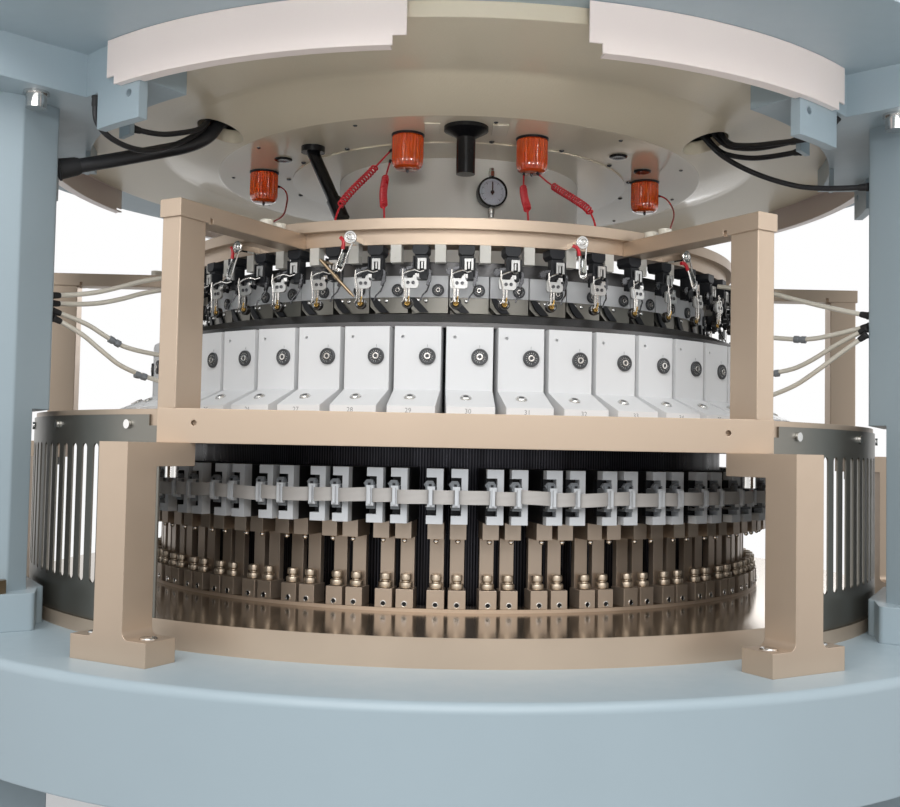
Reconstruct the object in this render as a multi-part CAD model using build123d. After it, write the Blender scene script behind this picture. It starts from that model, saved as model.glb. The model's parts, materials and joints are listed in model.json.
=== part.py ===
from build123d import *
import math
import os

# Computerised jacquard circular knitting machine, in millimetres.
# The machine axis is Z, the floor is at zero and the front looks along minus Y.
# An angle called azimuth is counted from the front, towards plus X.

# Base and bed
foot_height = 45.0
foot_pad_r = 56.0
foot_pad_height = 16.0
foot_stud_r = 14.0
foot_nut_r = 22.0
foot_nut_height = 15.0
foot_centre_r = 680.0
base_leg_height = 803.0
base_leg_width = 240.0
base_leg_wall = 14.0
base_leg_flange = 20.0
anchor_centre_r = 584.0
anchor_hole_r = 9.0
bed_r = 749.0
bed_height = 112.0
bed_plate = 24.0
bed_wall = 16.0
bed_bore_r = 430.0
bed_rib_r = 612.0
bed_edge_round = 9.0
bearing_depth = 55.0
bearing_height = 25.0
bearing_inner_r = 408.0
bearing_ledge = 25.0

# Lower plate, support legs and upper rail plate
plate_r = 609.0
plate_bore_r = 405.0
plate_thickness = 30.0
support_leg_height = 214.0
support_leg_width = 38.0
support_leg_depth = 40.0
support_leg_outer_r = 696.0
support_foot_width = 100.0
support_foot_height = 24.0
support_arm_inner_r = 601.0
support_arm_height = 24.0
support_leg_fillet = 8.0
leg_half_deg = 29.3
leg_shift_deg = -0.6
rail_thickness = 36.0
rail_r = 602.0
rail_bore_r = 405.0
rail_chord = 537.0
rail_bar_length = 644.0
rail_bar_depth = 37.0
rail_hole_r = 3.0
rail_hole_inset = 43.0
rail_hole_shift = -5.0
guard_sheet = 2.0
guard_top_drop = 6.0
guard_seat_depth = 14.0
guard_seat_play_deg = 0.1
guard_span_deg = 54.8
guard_step_span_deg = 51.6
guard_step_height = 18.0
guard_slot_width = 11.5
guard_slot_pitch_deg = 2.4
guard_slot_count = 15
guard_slot_margin = 26.0
guard_slot_top = 38.0
guard_screw_offsets = (-22.6, -7.0, 7.0, 22.6)

# Feeder frame
post_height = 201.0
post_width = 25.0
post_depth = 39.0
post_outer_r = 618.0
post_shift_deg = 0.6
beam_width = 29.0
beam_height = 19.0
beam_outer_r = 620.0
feeder_ring_bore_r = 372.0
feeder_ring_r = 405.0
feeder_ring_height = 17.0
feeder_flange_r = 415.0
feeder_flange_height = 13.0
frame_edge_round = 1.2

# Knitting head
feeder_count = 48
cylinder_r = 398.0
cylinder_wall = 20.0
cylinder_rise = 19.0
cam_box_face_r = 450.0
cam_box_inner_r = 425.0
cam_box_width = 53.0
cam_box_height = 101.0
cam_box_foot_r = 497.0
cam_box_foot_rise = 29.0
cam_box_lip = 9.0
cam_box_azimuth = 0.55
stitch_dial_r = 9.4
stitch_dial_drop = 34.0
stitch_dial_side = 11.3
stitch_dial_proud = 3.0
dial_screw_r = 4.0
foot_screw_r = 6.0
foot_screw_side = -4.5
peg_hole_r = 1.8
peg_hole_side = -17.0
peg_hole_drop = 12.0
sinker_ring_bore_r = 402.0
sinker_ring_r = 440.0
sinker_ring_lip = 6.0
sinker_ring_height = 20.0
dial_r = 370.0
dial_thickness = 11.0
dial_lift = 3.0
dial_bore_r = 32.0
dial_cam_r = 374.0
dial_cam_inner_r = 332.0
dial_cam_gap_deg = 0.25
dial_shoe_height = 19.0
dial_shoe_r = 373.0
dial_shoe_notch = 9.0
dial_cam_height = 26.0
dial_cam_azimuth = 0.85
dial_knob_r = 7.3
dial_knob_side = 11.5
dial_knob_drop = 17.5
dial_cam_ring_thickness = 17.0
dial_cam_ring_bore_r = 180.0
feeder_azimuth = 0.2
holder_width = 20.0
holder_depth = 24.0
holder_height = 19.0
holder_front_r = 416.0
holder_tail = 22.0
feeder_block_width = 13.0
feeder_block_offset_deg = 3.0
feeder_block_height = 21.0
feeder_front_r = 432.0
feeder_sheet = 4.0
feeder_arm_width = 10.0
feeder_arm_height = 6.0
feeder_arm_drop = 16.0
feeder_arm_side = -4.0
feeder_plate_width = 20.0
feeder_plate_height = 17.0
feeder_plate_side = -10.0
feeder_plate_rise = 3.0
feeder_hole_r = 1.6
feeder_hole_spacing = 6.0
feeder_finger_width = 5.0
feeder_finger_length = 13.0
feeder_eye_r = 6.4
feeder_eye_bore_r = 1.6
feeder_eye_overlap = 1.5
feeder_side = -13.3

# Electronic needle actuators
actuator_pair_azimuth = -2.19
actuator_pair_spread_deg = 3.06
actuator_inner_r = 424.0
actuator_foot_r = 450.0
actuator_foot_width = 20.0
actuator_foot_height = 25.0
foot_ring_height = 4.0
knurl_r = 6.2
knurl_foot_r = 7.6
knurl_neck_r = 4.2
knurl_centre_r = 441.0
knurl_height = 17.0
actuator_bar_width = 16.0
actuator_bar_thick = 8.0
actuator_bar_height = 58.0
selector_block_r = 466.0
selector_block_width = 18.0
selector_block_height = 19.0
selector_inner_r = 412.0
selector_r = 500.0
selector_width = 18.0
selector_height = 59.5
selector_slot_width = 11.0
selector_slot_low = 9.0
selector_slot_high = 50.0
selector_slot_depth = 20.0
connector_width = 8.0
connector_height = 22.0
connector_r = 508.0
connector_tongue = 3.0
ribbon_height = 18.0
ribbon_thick = 1.2
ribbon_bulge = 10.0
ribbon_peak_r = 513.0

# Columns, crown and dish
column_height = 612.0
column_face_r = 611.0
column_face_half = 78.0
column_corner_r = 656.0
column_half = 108.0
column_back_r = 735.0
column_round = 6.0
column_relief = 35.5
boss_height = 42.0
boss_face_r = 614.0
boss_face_half = 62.0
boss_corner_r = 630.0
boss_half = 131.0
shaft_bore_r = 25.0
arm_height = 50.0
arm_inner_r = 575.0
arm_half_deg = 13.4
wing_half_deg = 23.4
wing_inner_r = 545.0
wing_r = 611.0
ear_thick = 12.0
ear_drop = 43.0
ear_span_deg = 7.5
ear_hole_drop = 13.0
ear_hole_inset_deg = 1.7
ear_hole_r = 4.5
lug_thick = 6.0
lug_drop = 27.0
lug_span_deg = 3.0
lug_offset_deg = 10.9
crown_bore_r = 560.0
crown_height = 78.0
crown_floor = 20.0
crown_rim_r = 630.0
crown_tray_r = 725.0
crown_rib_count = 12
crown_rib_thick = 12.0
cover_wall = 8.0
cover_height = 52.0
cover_gap = 15.0
dish_r = 600.0
dish_thickness = 17.0
dish_shoulder_r = 450.0
dish_floor_r = 365.0
dish_drop = 26.0
dish_bore_r = 36.0
cable_hole_r = 30.0
cable_hole_centre_r = 402.0
cable_hole_azimuth = 54.0
housing_r = 184.0
housing_wall = 34.0
housing_flange_r = 205.0
housing_flange = 14.0
housing_shaft_gap = 15.0
dish_cover_r = 256.0
dish_cover_thick = 2.0
sign_sheet = 2.0
sign_r = 619.0
sign_height = 52.0
sign_lip = 12.0
sign_notch = 14.0
sign_front_left = (-23.85, 34.7)
sign_front_right = (27.4, 34.0)

# Drives
gear_module = 6.0
gear_teeth = 198
pinion_teeth = 20
gear_width = 25.0
pinion_extra = 2.0
gear_backlash = 0.9
pressure_angle = 20.0
gear_below_bed = 33.0
rotor_flange_r = 425.0
rotor_flange_height = 17.7
rotor_tube_wall = 17.0
shaft_r = 18.0
shaft_low_tail = 45.0
pulley_r = 60.0
pulley_height = 20.0
collar_r = 32.0
collar_height = 5.7
motor_pulley_r = 40.0
motor_shaft_r = 12.0
motor_centre_r = 490.0
motor_r = 75.0
motor_height = 262.0
motor_flange_r = 82.0
motor_flange = 12.0
motor_fin = 5.0
motor_fin_pitch = 20.0
belt_thick = 6.0
shelf_thick = 12.0
shelf_below_gear = 103.0
shelf_inner_r = 402.0
shelf_shaft_hole_r = 24.0
shelf_motor_hole_r = 22.0
dial_shaft_r = 30.0
dial_shaft_top_r = 24.0
dial_shaft_flange_r = 90.0
dial_shaft_flange = 14.0
dial_collar_r = 55.0
dial_collar_height = 15.0
dial_hub_r = 60.0
dial_gear_web = 12.0

# Take-down under the cylinder
takedown_width = 600.0
takedown_side_thick = 20.0
takedown_side_depth = 160.0
takedown_height = 560.0
takedown_bar_height = 40.0
roller_r = 30.0
roller_gap = 4.0
roller_drop = 250.0
roller_pin_r = 12.0
roller_pin_length = 34.0
roller_pin_gap = 2.5

# Lamps, gauge, suction pieces and stop detectors
lamp_r = 20.5
lamp_height = 39.0
lamp_base_r = 22.0
lamp_base_height = 7.0
lamp_places = [(300.0, -76.2), (290.0, -14.8), (290.0, 17.6), (286.0, 76.5)]
funnel_centre_r = 319.0
funnel_flange_r = 28.0
funnel_flange_height = 14.0
funnel_tube_r = 12.0
funnel_tube_length = 46.0
pipe_r = 8.5
pipe_flange_r = 16.0
pipe_flange_height = 8.0
pipe_top = (-204.0, -213.0)
pipe_reach = (44.0, -28.0, -96.0)
gauge_r = 21.0
gauge_depth = 16.0
gauge_stand_off = 8.0
gauge_azimuth = 11.6
gauge_below_dish = 53.0
gauge_glass_r = 18.5
gauge_glass_depth = 3.0
gauge_stem_r = 4.5
gauge_stem_length = 14.0
pointer_length = 14.0
pointer_width = 1.6
pointer_hub_r = 2.6
pointer_thick = 1.0
detector_azimuths = [-39.7, -18.0, 17.9, 38.9]
detector_tilts = [-22.0, -20.0, 2.0, 26.0]
detector_r = 436.0
detector_post_width = 9.0
detector_post_height = 7.0
detector_head_r = 8.5
detector_arm_width = 8.0
detector_arm_thick = 4.0
detector_arm_length = 44.0
detector_body_r = 7.0

# Small screws
bolt_r = 11.5
bolt_height = 19.0
bolt_centre_r = 647.0
washer_r = 14.5
washer_height = 3.0
boss_bolt_r = 9.75
boss_bolt_height = 15.0
screw_head_r = 9.0
screw_head_height = 5.0
guard_screw_r = 5.0
guard_screw_height = 3.0
guard_screw_drop = 16.5
arm_pad_r = 7.0
arm_pad_height = 12.0
beam_cap_r = 8.0
beam_cap_height = 8.0

# Clearances
touch_gap = 0.3
thrust_gap = 0.3
free_gap = 3.0
pulley_gap = 0.5

# Levels that follow from the sizes above
bed_bottom = foot_height + base_leg_height
bed_top = bed_bottom + bed_height
plate_top = bed_top + plate_thickness
rail_bottom = bed_top + support_leg_height
rail_top = rail_bottom + rail_thickness
cam_box_top = rail_top + cam_box_height
cylinder_top = cam_box_top + cylinder_rise
dial_top = cylinder_top + dial_lift
shoe_bottom = dial_top + free_gap
shoe_top = shoe_bottom + dial_shoe_height
dial_cam_top = shoe_top + dial_cam_height
dial_ring_top = dial_cam_top + dial_cam_ring_thickness
post_top = rail_top + post_height
beam_top = post_top + beam_height
feeder_ring_bottom = beam_top - feeder_ring_height
flange_top = beam_top + feeder_flange_height
column_top = bed_top + column_height
crown_bottom = column_top + arm_height
crown_top = crown_bottom + crown_height
dish_bottom = crown_bottom - dish_thickness
dish_floor = dish_bottom - dish_drop
bearing_seat = bed_top - bearing_depth
bearing_top = bearing_seat + bearing_height
rotor_flange_bottom = bearing_top + thrust_gap
rotor_top = rotor_flange_bottom + rotor_flange_height
gear_top = bed_bottom - gear_below_bed
gear_bottom = gear_top - gear_width
shelf_top = gear_top - shelf_below_gear
dial_gear_bottom = crown_top + 2 * free_gap
selector_bottom = plate_top + actuator_foot_height + actuator_bar_height + selector_block_height

# Radii and places that follow
shaft_centre_r = gear_module * (gear_teeth + pinion_teeth) / 2
gear_tip_r = gear_module * gear_teeth / 2 + 0.85 * gear_module
pinion_tip_r = gear_module * pinion_teeth / 2 + 0.85 * gear_module
base_leg_inner_r = gear_tip_r + 3 * free_gap
base_leg_outer_r = math.sqrt(bed_r ** 2 - (base_leg_width / 2) ** 2) - touch_gap
carrier_bore_r = cylinder_r - cylinder_wall
column_azimuths = {"left": -60.0, "right": 60.0, "rear": 180.0}
window_azimuths = [0.0, 120.0, 240.0]
leg_azimuths = [a + side * leg_half_deg + leg_shift_deg for a in window_azimuths for side in (-1, 1)]
frame_azimuths = [a + side * (30.0 + post_shift_deg) for a in window_azimuths for side in (-1, 1)]
feeder_pitch = 360.0 / feeder_count
guard_inner_r = rail_r + touch_gap
guard_outer_r = guard_inner_r + guard_sheet
cover_outer_r = gear_tip_r + cover_gap + cover_wall
cover_bulge_r = pinion_tip_r + cover_wall + 2 * free_gap


def turn(shape, azimuth):
    return Rot(0, 0, azimuth) * shape


def block(width, r_in, r_out, low, high, side=0.0):
    centre = Pos(side, -(r_in + r_out) / 2, (low + high) / 2)
    return centre * Box(width, r_out - r_in, high - low)


def disc(radius, low, high, x=0.0, y=0.0):
    return Pos(x, y, (low + high) / 2) * Cylinder(radius, high - low)


def ring(r_in, r_out, low, high):
    return disc(r_out, low, high) - disc(r_in, low, high)


def spot(radius, r_in, r_out, height, side=0.0):
    # A round piece whose axis points outwards from the machine axis.
    centre = Pos(side, -(r_in + r_out) / 2, height)
    return centre * Rot(90, 0, 0) * Cylinder(radius, r_out - r_in)


def lathe(points, span=360.0, middle=0.0):
    corners = [(r, 0, z) for r, z in points]
    face = make_face(Polyline(*corners, close=True))
    solid = revolve(face, Axis.Z, span)
    return turn(solid, middle - 90 - span / 2)


def sector(r_in, r_out, low, high, middle, span):
    return lathe([(r_in, low), (r_out, low), (r_out, high), (r_in, high)], span, middle)


def hexagon(radius, low, high, x=0.0, y=0.0):
    face = Pos(x, y, low) * RegularPolygon(radius, 6)
    return extrude(face, high - low)


def around(shape, count, start=0.0):
    return [turn(shape, start + 360.0 / count * k) for k in range(count)]


def place(r, azimuth):
    a = math.radians(azimuth)
    return r * math.sin(a), -r * math.cos(a)


def round_edges(shape, edges, radius):
    return fillet(edges, radius) if edges else shape


def save(name, shapes):
    solids = [s for shape in shapes for s in shape.solids()]
    export_step(Compound(solids), f"parts/{name}.step")


def involute(angle):
    return math.tan(angle) - angle


def gear_face(teeth, first_angle, radii_count):
    pitch_r = gear_module * teeth / 2
    base_r = pitch_r * math.cos(math.radians(pressure_angle))
    root_r = pitch_r - 1.1 * gear_module
    tip_r = pitch_r + 0.85 * gear_module
    half = math.pi / 2 / teeth + involute(math.radians(pressure_angle)) - gear_backlash / 4 / pitch_r
    steps = [root_r + (tip_r - root_r) * k / (radii_count - 1) for k in range(radii_count)]
    flank = []
    for r in steps:
        wide = half - involute(math.acos(min(1.0, base_r / r)))
        flank.append((r, wide))
    points = []
    for k in range(teeth):
        middle = math.radians(first_angle + 360.0 / teeth * k)
        for r, wide in flank:
            points.append((r * math.cos(middle - wide), r * math.sin(middle - wide)))
        for r, wide in reversed(flank):
            points.append((r * math.cos(middle + wide), r * math.sin(middle + wide)))
    return make_face(Polyline(*points, close=True))


def gear(teeth, first_angle, low, high, radii_count=2):
    return Pos(0, 0, low) * extrude(gear_face(teeth, first_angle, radii_count), high - low)


def bed_casting():
    body = ring(bed_bore_r, bed_r, bed_top - bed_plate, bed_top)
    body += ring(bed_r - bed_wall, bed_r, bed_bottom, bed_top)
    body += ring(bed_rib_r, bed_rib_r + bed_wall, bed_bottom, bed_top)
    body += ring(bed_bore_r, bed_bore_r + bed_wall, bed_bottom, bed_top)
    body += ring(plate_bore_r, bed_bore_r + bed_wall, bearing_seat - bearing_ledge, bearing_seat)
    body -= disc(shaft_bore_r, bed_bottom, bed_top, 0, shaft_centre_r)
    rims = [e for e in body.edges().filter_by(GeomType.CIRCLE)
            if abs(e.radius - bed_r) < 0.01 and e.center().Z > bed_top - 1]
    return round_edges(body, rims, bed_edge_round)


def base_leg():
    low = foot_height
    high = bed_bottom
    half = base_leg_width / 2
    outer = base_leg_outer_r
    leg = block(base_leg_width, outer - base_leg_wall, outer, low, high)
    for side in (-1, 1):
        leg += block(base_leg_wall, base_leg_inner_r, outer, low, high, side * (half - base_leg_wall / 2))
    leg += block(base_leg_width, base_leg_inner_r, outer, high - base_leg_flange, high)
    leg += block(base_leg_width, anchor_centre_r - 2.5 * anchor_hole_r, outer, low, low + base_leg_flange)
    leg -= disc(anchor_hole_r, low, low + base_leg_flange, 0, -anchor_centre_r)
    return leg


def rear_leg():
    leg = base_leg()
    leg -= disc(shaft_bore_r, bed_bottom - base_leg_flange, bed_bottom, 0, -shaft_centre_r)
    inside = base_leg_width - 2 * base_leg_wall
    shelf = block(inside, shelf_inner_r, base_leg_outer_r - base_leg_wall, shelf_top - shelf_thick, shelf_top)
    shelf -= disc(shelf_shaft_hole_r, shelf_top - shelf_thick, shelf_top, 0, -shaft_centre_r)
    shelf -= disc(shelf_motor_hole_r, shelf_top - shelf_thick, shelf_top, 0, -motor_centre_r)
    return leg + shelf


def levelling_foot():
    foot = disc(foot_pad_r, 0, foot_pad_height, 0, -foot_centre_r)
    foot += disc(foot_stud_r, foot_pad_height, foot_height, 0, -foot_centre_r)
    foot += hexagon(foot_nut_r, foot_height - foot_nut_height, foot_height, 0, -foot_centre_r)
    return foot


def column():
    outline = Polyline(
        (-column_face_half, -column_face_r),
        (column_face_half, -column_face_r),
        (column_half, -column_corner_r),
        (column_half, -column_back_r),
        (-column_half, -column_back_r),
        (-column_half, -column_corner_r),
        close=True,
    )
    shaft = Pos(0, 0, bed_top) * extrude(make_face(outline), column_top - bed_top)
    shaft = fillet(shaft.edges().filter_by(Axis.Z), column_round)
    boss_outline = Polyline(
        (-boss_face_half, -boss_face_r),
        (boss_face_half, -boss_face_r),
        (boss_half, -boss_corner_r),
        (boss_half, -column_back_r),
        (-boss_half, -column_back_r),
        (-boss_half, -boss_corner_r),
        close=True,
    )
    boss = Pos(0, 0, bed_top) * extrude(make_face(boss_outline), boss_height)
    boss = fillet(boss.edges().filter_by(Axis.Z), column_round)
    shaft -= disc(guard_outer_r + column_relief, bed_top + boss_height, rail_top + touch_gap)
    return shaft + boss


def support_leg():
    outer = support_leg_outer_r
    inner = outer - support_leg_depth
    foot_top = bed_top + support_foot_height
    leg = block(support_leg_width, inner, outer, bed_top, rail_bottom)
    leg += block(support_foot_width, inner, outer, bed_top, foot_top)
    leg += block(support_leg_width, support_arm_inner_r, outer, rail_bottom - support_arm_height, rail_bottom)
    corners = [e for e in leg.edges().filter_by(Axis.Y)
               if abs(e.center().Z - foot_top) < 0.1 and abs(abs(e.center().X) - support_leg_width / 2) < 0.1]
    leg = round_edges(leg, corners, support_leg_fillet)
    for side in (-1, 1):
        x = side * foot_screw_place()
        leg -= disc(screw_head_r + touch_gap, foot_top - screw_head_height, foot_top, x, -(inner + outer) / 2)
    return leg


def foot_screw_place():
    return (support_leg_width + support_foot_width) / 4


def lower_ring_plate():
    body = ring(plate_bore_r, plate_r, bed_top, plate_top)
    body += ring(actuator_inner_r, actuator_foot_r, plate_top, plate_top + foot_ring_height)
    seat_low = plate_top - guard_seat_depth
    seat_r = guard_inner_r - touch_gap
    for middle in column_azimuths.values():
        body -= sector(seat_r, plate_r + 1, seat_low, plate_top, middle, guard_span_deg + 2 * guard_seat_play_deg)
    return body


def side_guard(middle):
    step_low = rail_top - guard_step_height
    low = plate_top - guard_seat_depth
    guard = sector(guard_inner_r, guard_outer_r, low, step_low, middle, guard_span_deg)
    guard += sector(guard_inner_r, guard_outer_r, step_low, rail_top - guard_top_drop, middle, guard_step_span_deg)
    slot_low = plate_top + guard_slot_margin
    slot_high = rail_top - guard_slot_top
    half_run = guard_slot_pitch_deg * (guard_slot_count - 1) / 2
    radius = guard_slot_width / 2
    straight = block(guard_slot_width, guard_inner_r - 5, guard_outer_r + 5, slot_low + radius, slot_high - radius)
    slot = straight + spot(radius, guard_inner_r - 5, guard_outer_r + 5, slot_low + radius)
    slot += spot(radius, guard_inner_r - 5, guard_outer_r + 5, slot_high - radius)
    for k in range(guard_slot_count):
        guard -= turn(slot, middle - half_run + guard_slot_pitch_deg * k)
    return guard


def cam_ring_plate():
    body = ring(rail_bore_r, rail_r, rail_bottom, rail_top)
    for a in window_azimuths:
        body -= turn(block(rail_bar_length, rail_chord, rail_r + 50, rail_bottom, rail_top), a)
    for a in window_azimuths:
        body += turn(block(rail_bar_length, rail_chord - rail_bar_depth, rail_chord, rail_bottom, rail_top), a)
    for a in window_azimuths:
        for side in (-1, 1):
            x = rail_hole_shift + side * (rail_bar_length / 2 - rail_hole_inset)
            body -= turn(spot(rail_hole_r, rail_chord - 8, rail_chord + 2, rail_top - 15, x), a)
    return body


def frame_post():
    post = block(post_width, post_outer_r - post_depth, post_outer_r, rail_top, post_top)
    return fillet(post.edges().filter_by(Axis.Z), frame_edge_round)


def frame_beam():
    inner = feeder_ring_r + touch_gap
    beam = block(beam_width, inner, beam_outer_r, post_top, beam_top)
    beam = fillet(beam.edges().filter_by(Axis.Y), frame_edge_round)
    notch_r = post_outer_r - post_depth - 4
    for side in (-1, 1):
        beam -= block(8, notch_r - 5, notch_r, post_top, post_top + 6, side * beam_width / 2)
    return beam


def feeder_ring():
    return lathe([
        (feeder_ring_bore_r, feeder_ring_bottom),
        (feeder_ring_r, feeder_ring_bottom),
        (feeder_ring_r, beam_top),
        (feeder_flange_r, beam_top),
        (feeder_flange_r, flange_top),
        (feeder_ring_bore_r, flange_top),
    ])


def cam_box():
    profile = Polyline(
        (0, -cam_box_inner_r, rail_top),
        (0, -cam_box_foot_r, rail_top),
        (0, -cam_box_foot_r, rail_top + cam_box_lip),
        (0, -cam_box_face_r, rail_top + cam_box_foot_rise),
        (0, -cam_box_face_r, cam_box_top),
        (0, -cam_box_inner_r, cam_box_top),
        close=True,
    )
    body = extrude(make_face(profile), cam_box_width / 2, dir=(1, 0, 0), both=True)
    body -= spot(peg_hole_r, cam_box_face_r - 4, cam_box_face_r + 1, cam_box_top - peg_hole_drop, peg_hole_side)
    return body


def stitch_dial():
    height = cam_box_top - stitch_dial_drop
    face = cam_box_face_r + stitch_dial_proud
    knob = spot(stitch_dial_r, cam_box_face_r, face, height, stitch_dial_side)
    return knob + spot(dial_screw_r, face, face + 1.5, height, stitch_dial_side)


def dial_cam_knob():
    height = dial_cam_top - dial_knob_drop
    flat = dial_cam_r + touch_gap
    return spot(dial_knob_r, flat, flat + stitch_dial_proud, height, dial_knob_side)


def foot_screw():
    run = cam_box_foot_r - cam_box_face_r
    rise = cam_box_foot_rise - cam_box_lip
    slope = math.degrees(math.atan2(rise, run))
    mid_r = (cam_box_foot_r + cam_box_face_r) / 2
    mid_z = rail_top + (cam_box_foot_rise + cam_box_lip) / 2
    head = Pos(0, 0, 1.25) * Cylinder(foot_screw_r, 2.5)
    return Pos(foot_screw_side, -mid_r, mid_z) * Rot(slope, 0, 0) * head


def sinker_cap_ring():
    return lathe([
        (sinker_ring_bore_r, cam_box_top),
        (sinker_ring_r, cam_box_top),
        (sinker_ring_r, cam_box_top + sinker_ring_lip),
        (sinker_ring_bore_r + 2, cam_box_top + sinker_ring_height),
        (sinker_ring_bore_r, cam_box_top + sinker_ring_height),
    ])


def dial_cam_plate():
    return sector(dial_cam_inner_r, dial_cam_r, shoe_top, dial_cam_top, 0, feeder_pitch - dial_cam_gap_deg)


def dial_cam_shoe():
    shoe = sector(dial_cam_inner_r, dial_shoe_r, shoe_bottom, shoe_top, 0, feeder_pitch - dial_cam_gap_deg)
    edge = dial_shoe_r * math.radians(feeder_pitch) / 2
    notch = Polyline(
        (-edge - 2, -dial_shoe_r - 3, shoe_bottom - 1),
        (-edge + dial_shoe_notch + 1, -dial_shoe_r - 3, shoe_bottom - 1),
        (-edge - 2, -dial_shoe_r - 3, shoe_bottom + dial_shoe_notch + 2),
        close=True,
    )
    return shoe - extrude(make_face(notch), 20, dir=(0, 1, 0))


def feeder_holder():
    inner = holder_front_r - holder_depth
    low = feeder_ring_bottom - holder_height
    head = block(holder_width, inner, feeder_ring_r, low, feeder_ring_bottom)
    head += block(holder_width, feeder_ring_r, holder_front_r, low, post_top - touch_gap)
    return head + block(holder_width * 0.6, holder_front_r - 12, holder_front_r, low - holder_tail, low)


def feeder_block():
    return block(feeder_block_width, feeder_ring_r - 12, feeder_ring_r, feeder_ring_bottom - feeder_block_height,
                 feeder_ring_bottom)


def yarn_feeder():
    arm_top = feeder_ring_bottom - holder_height - feeder_arm_drop
    arm_low = arm_top - feeder_arm_height
    front = feeder_front_r
    back = front - feeder_sheet
    plate_top_z = arm_low + feeder_plate_rise
    plate_low = plate_top_z - feeder_plate_height
    shape = block(feeder_arm_width, holder_front_r, front, arm_low, arm_top, feeder_arm_side)
    shape += block(feeder_plate_width, back, front, plate_low, plate_top_z, feeder_plate_side)
    finger_low = plate_low - feeder_finger_length
    shape += block(feeder_finger_width, back, front, finger_low, plate_low, feeder_side)
    eye_z = finger_low - feeder_eye_r + feeder_eye_overlap
    shape += spot(feeder_eye_r, back, front, eye_z, feeder_side)
    shape -= spot(feeder_eye_bore_r, back - 1, front + 1, eye_z, feeder_side)
    for place_side in (-1, 1):
        hole_side = feeder_plate_side + place_side * feeder_hole_spacing / 2
        shape -= spot(feeder_hole_r, back - 1, front + 1, plate_low + feeder_plate_height / 3, hole_side)
    return shape


def actuator_azimuths():
    places = []
    for k in range(feeder_count):
        middle = actuator_pair_azimuth + feeder_pitch * k
        places.append(middle - actuator_pair_spread_deg / 2)
        places.append(middle + actuator_pair_spread_deg / 2)
    return places


def actuator_foot():
    top = plate_top + actuator_foot_height
    low = plate_top + foot_ring_height
    foot = block(actuator_foot_width, actuator_inner_r, actuator_foot_r, low, top)
    foot -= spot(2.6, actuator_foot_r - 8, actuator_foot_r + 1, low + 4.5)
    knurl = disc(knurl_foot_r, top, top + knurl_height * 0.4, 0, -knurl_centre_r)
    knurl += disc(knurl_neck_r, top, top + knurl_height, 0, -knurl_centre_r)
    knurl += disc(knurl_r, top + knurl_height * 0.6, top + knurl_height, 0, -knurl_centre_r)
    return [foot, knurl]


def actuator_post():
    low = plate_top + actuator_foot_height
    high = low + actuator_bar_height
    bar = block(actuator_bar_width, actuator_inner_r, actuator_inner_r + actuator_bar_thick, low, high)
    upper = block(selector_block_width, actuator_inner_r, selector_block_r, high, high + selector_block_height)
    return bar + upper


def selector_frame():
    low = selector_bottom
    body = block(selector_width, selector_inner_r, selector_r, low, low + selector_height)
    slot_side = -(selector_width - selector_slot_width) / 2
    body -= block(selector_slot_width, selector_r - selector_slot_depth, selector_r,
                  low + selector_slot_low, low + selector_slot_high, slot_side)
    middle = low + (selector_slot_low + selector_slot_high) / 2
    body += block(connector_width, selector_r - selector_slot_depth, connector_r,
                  middle - connector_height / 2, middle + connector_height / 2, slot_side)
    body += block(connector_tongue, connector_r - 1, ribbon_peak_r - 2 * touch_gap,
                  middle - ribbon_height / 2, middle + ribbon_height / 2, slot_side)
    return body


def ribbon_loop(peak_r, places):
    dip_r = peak_r - ribbon_bulge
    edges = []
    for k, a in enumerate(places):
        before = places[k - 1] - (360.0 if k == 0 else 0.0)
        after = places[(k + 1) % len(places)] + (360.0 if k == len(places) - 1 else 0.0)
        start = place(dip_r, (before + a) / 2)
        peak = place(peak_r, a)
        end = place(dip_r, (a + after) / 2)
        edges.append(ThreePointArc(start, peak, end))
    return Face(Wire(edges))


def ribbon_cable():
    lean = math.degrees((selector_width - selector_slot_width) / 2 / ribbon_peak_r)
    places = [a - lean for a in actuator_azimuths()]
    low = selector_bottom + (selector_slot_low + selector_slot_high - ribbon_height) / 2
    outer = extrude(ribbon_loop(ribbon_peak_r + ribbon_thick, places), ribbon_height)
    inner = extrude(ribbon_loop(ribbon_peak_r, places), ribbon_height)
    return Pos(0, 0, low) * (outer - inner)


def crown_casting():
    body = ring(crown_bore_r, bed_r, crown_bottom, crown_top)
    body -= ring(crown_rim_r, crown_tray_r, crown_bottom + crown_floor, crown_top)
    for rib in around(block(crown_rib_thick, crown_rim_r - 1, crown_tray_r + 1, crown_bottom, crown_top - 8),
                      crown_rib_count, 15):
        body += rib
    seat_r = dish_r + touch_gap
    for a in column_azimuths.values():
        body += sector(arm_inner_r, bed_r, column_top, dish_bottom, a, 2 * arm_half_deg)
        body += sector(wing_inner_r, wing_r, column_top, dish_bottom, a, 2 * wing_half_deg)
        body += sector(seat_r, bed_r, dish_bottom, crown_bottom, a, 2 * arm_half_deg)
        body += sector(seat_r, wing_r, dish_bottom, crown_bottom, a, 2 * wing_half_deg)
        for side in (-1, 1):
            ear = a + side * (wing_half_deg - ear_span_deg / 2)
            hole_azimuth = a + side * (wing_half_deg - ear_hole_inset_deg)
            hole = spot(ear_hole_r, wing_r - ear_thick - 2, wing_r + 2, column_top - ear_hole_drop)
            body += sector(wing_r - ear_thick, wing_r, column_top - ear_drop, column_top, ear, ear_span_deg)
            body -= turn(hole, hole_azimuth)
            lug = a + side * lug_offset_deg
            body += sector(wing_inner_r, wing_inner_r + lug_thick, column_top - lug_drop, column_top, lug, lug_span_deg)
    body -= disc(shaft_bore_r, column_top, crown_bottom + crown_floor, 0, shaft_centre_r)
    return body


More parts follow.
